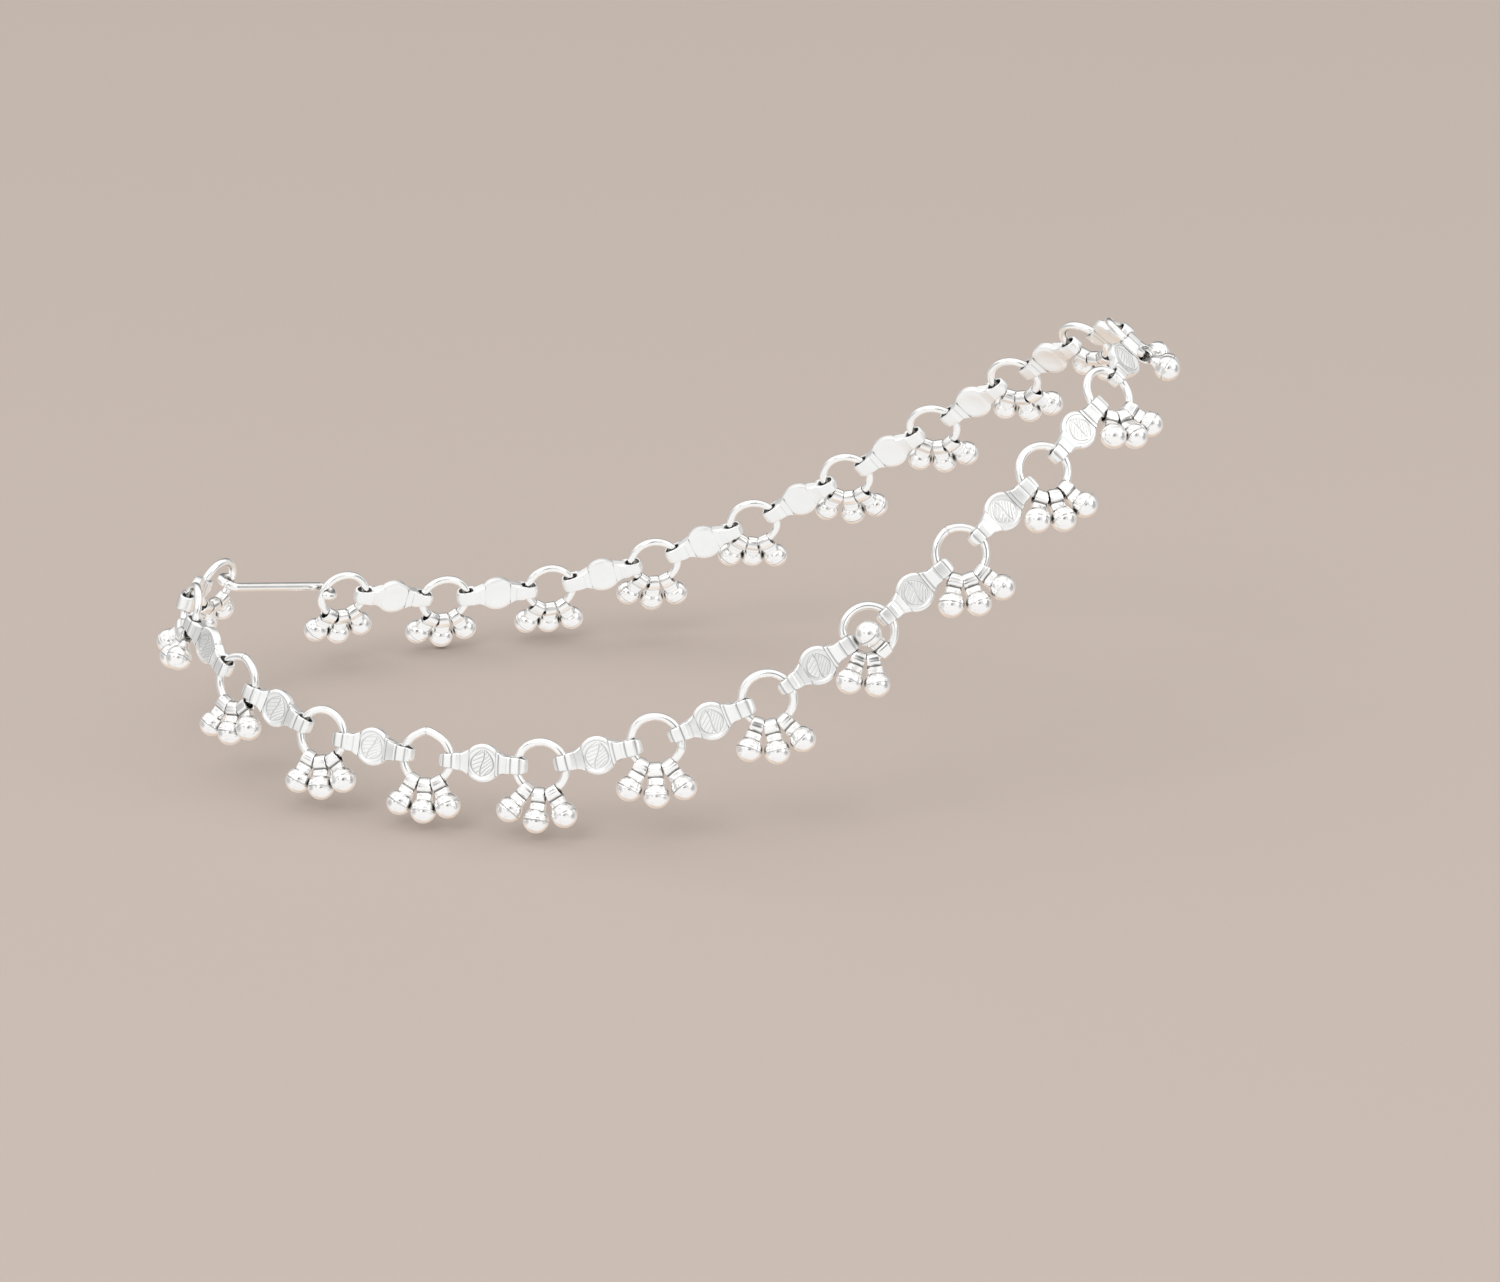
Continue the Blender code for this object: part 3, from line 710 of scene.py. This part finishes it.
def neck_rows(scale):
    """Depth, half thickness, half width, power and painted crease shade of the neck's rows, from the bail
    down.
    """
    top, skirt = NECK_START - NECK_OVERLAP, COLLAR_DROP + SKIRT_LENGTH
    rows = []
    for k in range(NECK_STEPS + 1):
        part = k / NECK_STEPS
        depth = top + (skirt + SKIRT_OVERLAP - top) * part
        # Creases dent the neck and are also painted darker, as shade.
        creases = sum(strength * bell_curve(part - place, width) for strength, place, width in NECK_CREASES)
        swell = NECK_SWELL * (bell_curve(part - NECK_SWELL_PLACE, NECK_SWELL_WIDTH) - creases)
        half_width = (NECK_WIDTH * scale * (1 - part) + SKIRT_WIDTH * part) / 2 + swell
        deepen = part ** THICKENING_POWER
        half_thickness = (NECK_THICKNESS * (1 - deepen) + SKIRT_THICKNESS * deepen) / 2 + swell
        power = ROUND_POWER + NECK_SQUARENESS * (1 - part)
        rows.append((depth, half_thickness, half_width, power, creases))
    return rows


def ball_rows(seam_shade):
    """The same five values for the ball's rows, from the skirt down."""
    start = math.asin(clamp((BALL_DROP - COLLAR_DROP - SKIRT_LENGTH) / BALL_RADIUS, -1, 1))
    latitudes = np.concatenate([np.linspace(start, SEAM_ZONE, CAP_ROWS)[1:],
                                np.linspace(SEAM_ZONE, -SEAM_ZONE, SEAM_ROWS)[1:],
                                np.linspace(-SEAM_ZONE, -math.pi / 2, BOWL_ROWS)[1:-1]])
    rows = []
    for latitude in latitudes:
        radius = BALL_RADIUS + (SEAM_HEIGHT * bell_curve(latitude, SEAM_WIDTH)
                                - SEAM_GROOVE * bell_curve(abs(latitude) - GROOVE_PLACE, GROOVE_WIDTH))
        reach = radius * math.cos(latitude)
        shade = seam_shade * bell_curve(latitude + SEAM_SHADE_PLACE, SEAM_WIDTH)
        rows.append((BALL_DROP - radius * math.sin(latitude), reach, reach, ROUND_POWER, shade))
    return rows


def add_bell(shape, chance, carry, width):
    """Neck that flares from the pinched bail, and the ball. Local z is up, y runs along the wire."""
    turn = np.linspace(0, 2 * math.pi, DROP_COLUMNS, endpoint=False)
    seam_shade = chance.uniform(SEAM_SHADE_LOWEST, SEAM_SHADE_HIGHEST)
    rows = neck_rows(width / BAIL_WIDTH) + ball_rows(seam_shade)
    press = 1 - BALL_PRESS * np.cos(2 * (turn - chance.uniform(0, 2 * math.pi)))
    fade = FADE_LEVEL + FADE_SWING * np.sin(turn + chance.uniform(0, 2 * math.pi))
    grid, recess = [], []
    for depth, half_thickness, half_width, power, groove_shade in rows:
        x = half_thickness * signed_power(np.cos(turn), 2 / power)
        y = half_width * signed_power(np.sin(turn), 2 / power)
        grid.append(np.stack([x * press, y * press, np.full_like(x, -depth)], -1))
        recess.append(groove_shade * fade)
    highest, lowest = (0, 0, -rows[0][0]), (0, 0, -(BALL_DROP + BALL_RADIUS + BALL_TIP))
    ends = [moved(np.array([end]), carry) for end in (highest, lowest)]
    shape.add(moved(np.array(grid), carry), 1, ends=ends, recess=np.array(recess))


def drop_matrix(wire, along, down, twist):
    """Local axes of a drop: x is the depth axis, y runs along the wire, z is up."""
    across = (along - down * along.dot(down)).normalized()
    depth = across.cross(-down)
    axes = axes_matrix(depth, across, -down) @ Matrix.Rotation(twist, 3, "Z")
    return Matrix.Translation(wire) @ axes.to_4x4()


def make_bell_ring(index, rings, materials):
    ring = rings[index]
    chance = random.Random(BELL_SEED + index)
    rear = angle_round_ring(ring, rings[index - 1].centre)
    front = angle_round_ring(ring, rings[(index + 1) % RING_COUNT].centre)
    to_world = Matrix.Translation(ring.centre) @ ring.axes.to_4x4()
    shape = Shape()
    add_wire(shape, index, chance)
    for wire, along, down in drop_places(index, ring, rear, front):
        carry = drop_matrix(wire, along, down, math.radians(chance.uniform(-DROP_TWIST, DROP_TWIST)))
        width = BAIL_WIDTH * chance.uniform(1.0, BAIL_WIDEST)
        add_bail(shape, chance, carry, width)
        add_bell(shape, chance, carry, width)
    shape.points = [moved(points, to_world) for points in shape.points]
    piece = shape.make(f"bell_ring_{index + 1:02d}_silver", materials)
    finish_piece(piece, f"bell_ring_{index + 1:02d}")


def leaf_lines(x, y, turn):
    """Stamped lines of a pointed leaf, from 0 to 1: its outline, a curved middle rib and side veins.

    The second result says how far inside the leaf a point lies, from 0 at its edge to 1 in the middle.
    """
    u = x * math.cos(turn) + y * math.sin(turn)
    v = -x * math.sin(turn) + y * math.cos(turn)
    share = np.clip((u + LEAF_LENGTH / 2) / LEAF_LENGTH, 0, 1)
    half = LEAF_WIDTH / 2 * np.sin(math.pi * share ** LEAF_SKEW) ** LEAF_BLUNTNESS + LEAST_WIDTH
    inside = np.clip(1 - np.abs(v) / half, 0, 1)
    along = (share > LEAF_ENDS) & (share < 1 - LEAF_ENDS)
    outline = bell_curve(np.abs(v) - half, OUTLINE_WIDTH) * along
    off_rib = v - RIB_BEND * np.sin(2 * math.pi * share)
    rib = bell_curve(off_rib, LINE_WIDTH) * (inside > 0)
    slope = np.where(off_rib < 0, VEIN_SLOPE_BELOW, VEIN_SLOPE_ABOVE)
    off_vein = (((u + slope * off_rib) / VEIN_STEP) % 1 - 0.5) * VEIN_STEP / np.sqrt(1 + slope ** 2)
    veins = bell_curve(off_vein, VEIN_WIDTH) * smooth_step(*VEIN_ENDS, inside)
    veins = veins * smooth_step(LINE_WIDTH, RIB_CLEARANCE, np.abs(off_rib))
    return np.maximum(np.maximum(outline, rib), VEIN_SHADE * veins), inside


def add_disc(shape, leaf_turn, line_shade):
    """The stamped disc: raised rim, sunk field with a leaf, rounded edge and a plain dished back."""
    turn = np.linspace(0, 2 * math.pi, DISC_SECTORS, endpoint=False)
    cosine, sine = np.cos(turn), np.sin(turn)
    flat = np.ones(DISC_SECTORS)
    radius, front = DISC_DIAMETER / 2, DISC_THICKNESS / 2
    reach = np.concatenate([DISC_TOP, DISC_ROUNDING]) * radius
    rows, recess = [], []

    def add_row(r, z):
        rows.append(np.stack([r * cosine, r * sine, z * flat], -1))

    for r in reach:
        x, y = r * cosine, r * sine
        lines, inside = leaf_lines(x, y, leaf_turn)
        field = 1 - smooth_step(FIELD_RADIUS, RIM_RADIUS, r)
        z = front - field * (FIELD_DEPTH - LEAF_RISE * np.sqrt(inside) + LINE_DEPTH * lines)
        add_row(r, z - (front - DISC_EDGE) * smooth_step(RIM_RADIUS + RIM_FLAT, radius, r) ** 2)
        # Painted shade in the stamped leaf lines, at the rim's step and along the line where the straps
        # begin.
        root_line = bell_curve(np.abs(x) - STRAP_START + ROOT_LINE_INSET, LINE_WIDTH)
        root_line = root_line * np.where(x > 0, ROOT_LINE_SHADE_FRONT, ROOT_LINE_SHADE_REAR)
        rim_line = RIM_LINE_SHADE * bell_curve(r - (FIELD_RADIUS + RIM_RADIUS) / 2, LINE_WIDTH)
        recess.append(np.maximum(line_shade * lines * field, np.maximum(root_line, rim_line)))
    for share in (0.5, 0, -0.5):
        add_row(radius + DISC_BULGE * (1 - share ** 2), DISC_EDGE * share)
    for r in reach[::-DISC_BACK_STEP]:
        drop = (front - DISC_EDGE) * smooth_step(RIM_RADIUS, radius, r)
        dish = DISC_DISH * (1 - smooth_step(DISH_MIDDLE * radius, FIELD_RADIUS, r))
        add_row(r, -front + drop + dish)
    recess += [np.zeros(DISC_SECTORS)] * (len(rows) - len(recess))
    ends = ((0, 0, float(rows[0][:, 2].mean())), (0, 0, DISC_DISH - front))
    shape.add(np.array(rows), 0, ends=ends, recess=np.array(recess))


def strap_outlines():
    """Inner and outer line of a strap in the x, z plane, from the disc over the front to the back."""
    height, end = EYE_HALF_HEIGHT + STRAP_THICKNESS, PLATE_HALF_LENGTH
    near, far = EYE_SPACING / 2 - EYE_DISC_SIDE, EYE_SPACING / 2 + EYE_TIP
    middle, half = (near + far) / 2, (far - near) / 2
    root = DISC_THICKNESS / 2 + STRAP_ROOT_RISE
    bend = end - height * TIP_DEPTH
    corners = [(STRAP_START, root, STRAP_ROWS), (BLOCK_START, height - BLOCK_STEP, BLOCK_ROWS),
               (BLOCK_START + BLOCK_RAMP, height, STRAP_ROWS), (bend, height, 0)]
    upper = []
    for (x0, z0, count), (x1, z1, _) in zip(corners, corners[1:]):
        upper += [(x0 + (x1 - x0) * k / count, z0 + (z1 - z0) * k / count) for k in range(count)]
    for k in range(TIP_STEPS + 1):
        turn = math.pi / 2 * (1 - k / TIP_STEPS)
        upper.append((bend + (end - bend) * math.cos(turn), height * math.sin(turn) ** TIP_POWER))
    lower = [(x, -z) for x, z in upper[-2::-2]]
    back = [(STRAP_START, -root * k / ROOT_STEPS) for k in range(ROOT_STEPS - 1, -ROOT_STEPS, -1)]
    outer = np.array(upper + lower + back)
    aim = np.arctan2(outer[:, 1], (outer[:, 0] - middle) * EYE_POWER)
    inner = np.stack([middle + half * signed_power(np.cos(aim), EYE_POWER),
                      EYE_HALF_HEIGHT * signed_power(np.sin(aim), EYE_POWER)], 1)
    return inner, outer


STRAP_INNER, STRAP_OUTER = strap_outlines()


def add_strap(shape, side, chance):
    """Strap folded into an eye. side is 1 or -1."""
    x, front = STRAP_OUTER[:, 0], STRAP_OUTER[:, 1] > 0
    push, recess = np.zeros(len(x)), np.zeros(len(x))
    # Each crease is pressed in and painted darker, as shade.
    for crease in STRAP_CREASES[side]:
        place = crease.x + chance.uniform(-CREASE_SHIFT, CREASE_SHIFT) * MM
        line = bell_curve(x - place, crease.width) * front
        push += crease.depth * line
        recess += crease.shade * chance.uniform(CREASE_FAINTEST, 1.0) * line
    tail = (~front) & (x > TAIL_START)
    push += TAIL_STEP * (1 - smooth_step(TAIL_END - TAIL_EDGE, TAIL_END + TAIL_EDGE, x)) * tail
    across = STRAP_OUTER - STRAP_INNER
    outer = STRAP_OUTER - across / np.linalg.norm(across, axis=1)[:, None] * push[:, None]
    root = STRAP_ROOT_WIDTH / 2 + ROOT_SPREAD
    body = STRAP_TIP_WIDTH / 2 * chance.uniform(BODY_NARROWEST, 1.0)
    tip = body * chance.uniform(*(NARROW_TIPS if side < 0 else WIDE_TIPS))

    def half_width(x):
        flare = 1 - np.clip((x - STRAP_START) / (STRAP_NARROWS - STRAP_START), 0, 1)
        narrow = smooth_step(BLOCK_START, EYE_SPACING / 2, x)
        rounding = np.clip((x - PLATE_HALF_LENGTH) / TIP_ROUNDING_LENGTH + 1, 0, 1)
        return (body + (tip - body) * narrow + (root - body) * flare ** ROOT_POWER
                - TIP_ROUNDING * (1 - np.sqrt(1 - rounding ** 2)))

    grid = band_grid(STRAP_INNER, outer, half_width, STRAP_CORNER, STRAP_SECTION, STRAP_CROWN)
    grid[..., 0] *= side
    shape.add(grid, 0, round_rows=True, recess=recess[:, None] * (STRAP_SECTION[:, 1] > 0))


def make_plate(number, link, materials):
    chance = random.Random(PLATE_SEED + number)
    shape = Shape()
    leaf_turn = math.radians(chance.uniform(LEAF_TURN_LEAST, LEAF_TURN_MOST))
    add_disc(shape, leaf_turn, LINE_SHADES.get(number, LINE_SHADE))
    add_strap(shape, 1, chance)
    add_strap(shape, -1, chance)
    twist = Matrix.Rotation(math.radians(chance.uniform(-DISC_TWIST, DISC_TWIST)), 4, "X")
    carry = Matrix.Translation((link.start + link.end) / 2) @ link.axes.to_4x4() @ twist
    shape.points = [moved(points, carry) for points in shape.points]
    piece = shape.make(f"plate_{number:02d}_silver", materials)
    finish_piece(piece, f"plate_{number:02d}")


def make_hook(link, materials):
    """S hook of round wire, with ends that narrow to a blunt tip."""
    radius = RING_WIRE / 2 + HOOK_GAP + HOOK_WIRE / 2
    touch = math.degrees(math.acos(2 * radius / HOOK_SPAN))
    sweep = 360 + HOOK_OPEN_ANGLE - touch
    curl = []
    for k in range(HOOK_CURL_STEPS + 1):
        turn = math.radians(HOOK_OPEN_ANGLE - sweep * k / HOOK_CURL_STEPS)
        curl.append((radius * math.cos(turn), radius * math.sin(turn)))
    back = [(HOOK_SPAN - x, -z) for x, z in reversed(curl)]
    (x0, z0), (x1, z1) = curl[-1], back[0]
    bar = [(x0 + (x1 - x0) * k / HOOK_BAR_STEPS, z0 + (z1 - z0) * k / HOOK_BAR_STEPS)
           for k in range(1, HOOK_BAR_STEPS)]
    path = np.array(curl + bar + back)
    tangent = np.gradient(path, axis=0)
    tangent /= np.linalg.norm(tangent, axis=1)[:, None]
    normal = np.stack([-tangent[:, 1], tangent[:, 0]], 1)
    along = np.concatenate([[0], np.cumsum(np.linalg.norm(np.diff(path, axis=0), axis=1))])
    from_end = np.minimum(along, along[-1] - along)
    taper = HOOK_TIP + (1 - HOOK_TIP) * np.sqrt(np.clip(from_end / HOOK_TAPER, 0, 1))
    thick = HOOK_WIRE / 2 * taper
    turn = np.linspace(0, 2 * math.pi, HOOK_COLUMNS, endpoint=False)
    rise = normal[:, None, :] * (thick[:, None] * np.cos(turn))[..., None] + path[:, None, :]
    grid = np.stack([rise[..., 0], thick[:, None] * np.sin(turn), rise[..., 1]], -1)
    shape = Shape()
    ends = [(point[0], 0, point[1]) for point in (path[0], path[-1])]
    shape.add(grid, 0, ends=ends)
    carry = Matrix.Translation(link.start) @ link.axes.to_4x4()
    shape.points = [moved(points, carry) for points in shape.points]
    finish_piece(shape.make("clasp_hook_silver", materials), "clasp_hook")


def finish_piece(piece, node):
    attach(piece, "root")
    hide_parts(node)


# Materials


def node(tree, kind, inputs=(), **settings):
    item = tree.nodes.new(kind)
    for key, value in settings.items():
        setattr(item, key, value)
    for key, value in dict(inputs).items():
        if isinstance(value, bpy.types.NodeSocket):
            tree.links.new(value, item.inputs[key])
        else:
            item.inputs[key].default_value = value
    return item


def ramp_between(tree, value, ends, results=(0.0, 1.0), curve="SMOOTHSTEP"):
    """Goes from the first result to the second while the value goes from the first end to the second."""
    item = node(tree, "ShaderNodeMapRange", {"Value": value, "From Min": ends[0], "From Max": ends[1],
                                             "To Min": results[0], "To Max": results[1]},
                interpolation_type=curve)
    return item.outputs["Result"]


def calculate(tree, operation, *values):
    return node(tree, "ShaderNodeMath", dict(enumerate(values)), operation=operation).outputs["Value"]


def noise(tree, place, kind):
    inputs = {"Vector": place, "Scale": kind.scale, "Detail": kind.detail, "Roughness": kind.roughness}
    return node(tree, "ShaderNodeTexNoise", inputs).outputs["Fac"]


def bump(tree, height, strength, distance, **normal):
    inputs = {"Height": height, "Strength": strength, "Distance": distance, **normal}
    return node(tree, "ShaderNodeBump", inputs).outputs["Normal"]


def blend(tree, share, first, second):
    item = node(tree, "ShaderNodeMix", {"Factor": share}, data_type="RGBA")
    item.inputs["A"].default_value = first
    item.inputs["B"].default_value = second
    return item.outputs["Result"]


def silver(name, finish):
    """White metal: uneven polish, fine grain, slow waves of handwork, and painted shade in crevices and
    grooves.
    """
    material = bpy.data.materials.new(name)
    material.use_nodes = True
    tree = material.node_tree
    shader = tree.nodes["Principled BSDF"]
    shader.inputs["Metallic"].default_value = 1
    place = node(tree, "ShaderNodeTexCoord").outputs["Object"]
    patches, fine, slow = (noise(tree, place, kind) for kind in (PATCHES, GRAIN, WAVES))
    # Painted shade: the colour goes darker in crevices, found by ambient occlusion, and in the painted
    # grooves.
    crevice = node(tree, "ShaderNodeAmbientOcclusion", {"Distance": CREVICE_REACH}, samples=CREVICE_SAMPLES)
    is_open = ramp_between(tree, crevice.outputs["AO"], (CREVICE_CLOSED, CREVICE_OPEN), curve="LINEAR")
    groove_shade = node(tree, "ShaderNodeAttribute", attribute_name="groove_shade")
    lit = calculate(tree, "SUBTRACT", 1.0, groove_shade.outputs["Fac"])
    shade = calculate(tree, "MULTIPLY", is_open, lit)
    colour = blend(tree, shade, (*finish.recess, 1), (*finish.colour, 1))
    stain = ramp_between(tree, patches, (STAIN_LOW, STAIN_HIGH), (STAIN_DARKEST, 1.0), "LINEAR")
    tint = node(tree, "ShaderNodeVectorMath", {0: colour, 1: stain}, operation="MULTIPLY")
    tree.links.new(tint.outputs["Vector"], shader.inputs["Base Color"])
    polish = (finish.roughness, finish.roughness + finish.spread)
    rough = ramp_between(tree, patches, (POLISH_LOW, POLISH_HIGH), polish, "LINEAR")
    tree.links.new(rough, shader.inputs["Roughness"])
    wavy = bump(tree, slow, finish.wave, WAVE_HEIGHT)
    grained = bump(tree, fine, finish.grain, GRAIN_HEIGHT, Normal=wavy)
    tree.links.new(grained, shader.inputs["Normal"])
    return material


# Stage, light and camera


def make_floor():
    mesh = bpy.data.meshes.new("floor")
    corners = [(x * FLOOR_HALF, y * FLOOR_HALF, FLOOR_Z) for x, y in ((-1, -1), (1, -1), (1, 1), (-1, 1))]
    mesh.from_pydata(corners, [], [(0, 1, 2, 3)])
    floor = bpy.data.objects.new("floor", mesh)
    bpy.context.scene.collection.objects.link(floor)
    material = bpy.data.materials.new("floor")
    material.use_nodes = True
    shader = material.node_tree.nodes["Principled BSDF"]
    shader.inputs["Base Color"].default_value = FLOOR_COLOUR
    shader.inputs["Roughness"].default_value = FLOOR_ROUGHNESS
    mesh.materials.append(material)
    floor.visible_glossy = False


def make_light(light):
    """Soft rectangular light with a given brightness per area, aimed at the middle of the anklet."""
    data = bpy.data.lights.new(light.name, "AREA")
    data.shape = "RECTANGLE"
    data.size, data.size_y = light.size
    data.energy = light.radiance * math.pi * light.size[0] * light.size[1]
    data.color = light.colour
    item = bpy.data.objects.new(light.name, data)
    bpy.context.scene.collection.objects.link(item)
    item.location = light.place
    item.rotation_euler = (-Vector(light.place)).to_track_quat("-Z", "Y").to_euler()


def camera_forward():
    azimuth, elevation = math.radians(CAMERA_AZIMUTH), math.radians(CAMERA_ELEVATION)
    return Vector((-math.sin(azimuth) * math.cos(elevation), math.cos(azimuth) * math.cos(elevation),
                   -math.sin(elevation)))


def make_world():
    """White light tent: grey behind the anklet, warm from below, one soft dark patch in front."""
    world = bpy.data.worlds.new("studio")
    bpy.context.scene.world = world
    world.use_nodes = True
    tree = world.node_tree
    place = node(tree, "ShaderNodeTexCoord").outputs["Generated"]
    split = node(tree, "ShaderNodeSeparateXYZ", {"Vector": place})
    sideways, height = split.outputs["X"], split.outputs["Z"]
    room = noise(tree, place, TENT_SPOTS)

    def ramp(value, ends, results=(0.0, 1.0)):
        return ramp_between(tree, value, ends, results)

    def away_from(direction):
        item = node(tree, "ShaderNodeVectorMath", {0: place, 1: direction}, operation="DISTANCE")
        return item.outputs["Value"]

    def times(first, second):
        return calculate(tree, "MULTIPLY", first, second)

    from_warm = away_from(TENT_WARM_FROM)
    warm = ramp(from_warm, TENT_WARM_ENDS)
    outline = times(ramp(away_from(camera_forward()), TENT_BACK_ENDS, (0, TENT_BACK_SHADE)),
                    ramp(from_warm, TENT_WARM_ENDS, (1, 1 - TENT_WARM_LIFT)))
    sides = ramp(calculate(tree, "ABSOLUTE", sideways), TENT_SIDE_ENDS, (0, TENT_SIDE_SHADE))
    lift = math.radians(TENT_PATCH_ELEVATION)
    from_patch = away_from(Vector((TENT_PATCH_SIDE, -math.cos(lift), math.sin(lift))))
    patch = ramp(from_patch, TENT_PATCH_ENDS, (0, TENT_PATCH_SHADE))
    spots = times(ramp(room, TENT_SPOT_ENDS, (0, TENT_SPOT_SHADE)),
                  ramp(height, TENT_SPOT_HEIGHTS, (TENT_SPOT_LOW_SHARE, 1)))
    from_camera = away_from(-camera_forward())
    band = times(ramp(from_camera, TENT_BAND_INNER, (0, TENT_BAND_SHADE)), ramp(from_camera, TENT_BAND_OUTER))
    broken = times(times(band, ramp(room, TENT_BAND_BREAKS)),
                   times(ramp(height, TENT_BAND_HEIGHTS), ramp(sideways, TENT_BAND_SIDES)))
    below = ramp(height, TENT_FLOOR_ENDS, (0, TENT_FLOOR_SHADE))
    value = ramp(height, TENT_HIGH_ENDS, (TENT_LOW, TENT_HIGH))
    for shade in (outline, sides, patch, spots, broken, below):
        value = calculate(tree, "SUBTRACT", value, shade)
    value = calculate(tree, "MAXIMUM", value, TENT_DARKEST)
    background = tree.nodes["Background"]
    tree.links.new(value, background.inputs["Strength"])
    tree.links.new(blend(tree, warm, (1, 1, 1, 1), TENT_WARM), background.inputs["Color"])


def make_camera():
    forward = camera_forward()
    data = bpy.data.cameras.new("camera")
    data.sensor_fit = "HORIZONTAL"
    data.sensor_width = CAMERA_SENSOR
    data.lens = CAMERA_LENS
    data.clip_start, data.clip_end = CAMERA_NEAR, CAMERA_FAR
    camera = bpy.data.objects.new("camera", data)
    bpy.context.scene.collection.objects.link(camera)
    camera.location = CAMERA_TARGET - forward * CAMERA_DISTANCE
    camera.rotation_euler = forward.to_track_quat("-Z", "Y").to_euler()
    bpy.context.scene.camera = camera


def build():
    polished = silver("polished_silver_look", POLISHED)
    bell = silver("bell_silver_look", BELL)
    stamped = silver("stamped_silver_look", STAMPED)
    rings = settle_chain()
    number = 0
    for index, ring in enumerate(rings):
        make_bell_ring(index, rings, (polished, bell))
        link = link_between(ring, rings[(index + 1) % RING_COUNT])
        if index == HOOKED_RING:
            make_hook(link, (polished,))
        else:
            number += 1
            make_plate(number, link, (stamped,))
    make_floor()
    make_world()
    for light in LIGHTS:
        make_light(light)
    make_camera()
    view = bpy.context.scene.view_settings
    view.view_transform = "Standard"
    view.look = "None"
    view.exposure = 0.0


build()
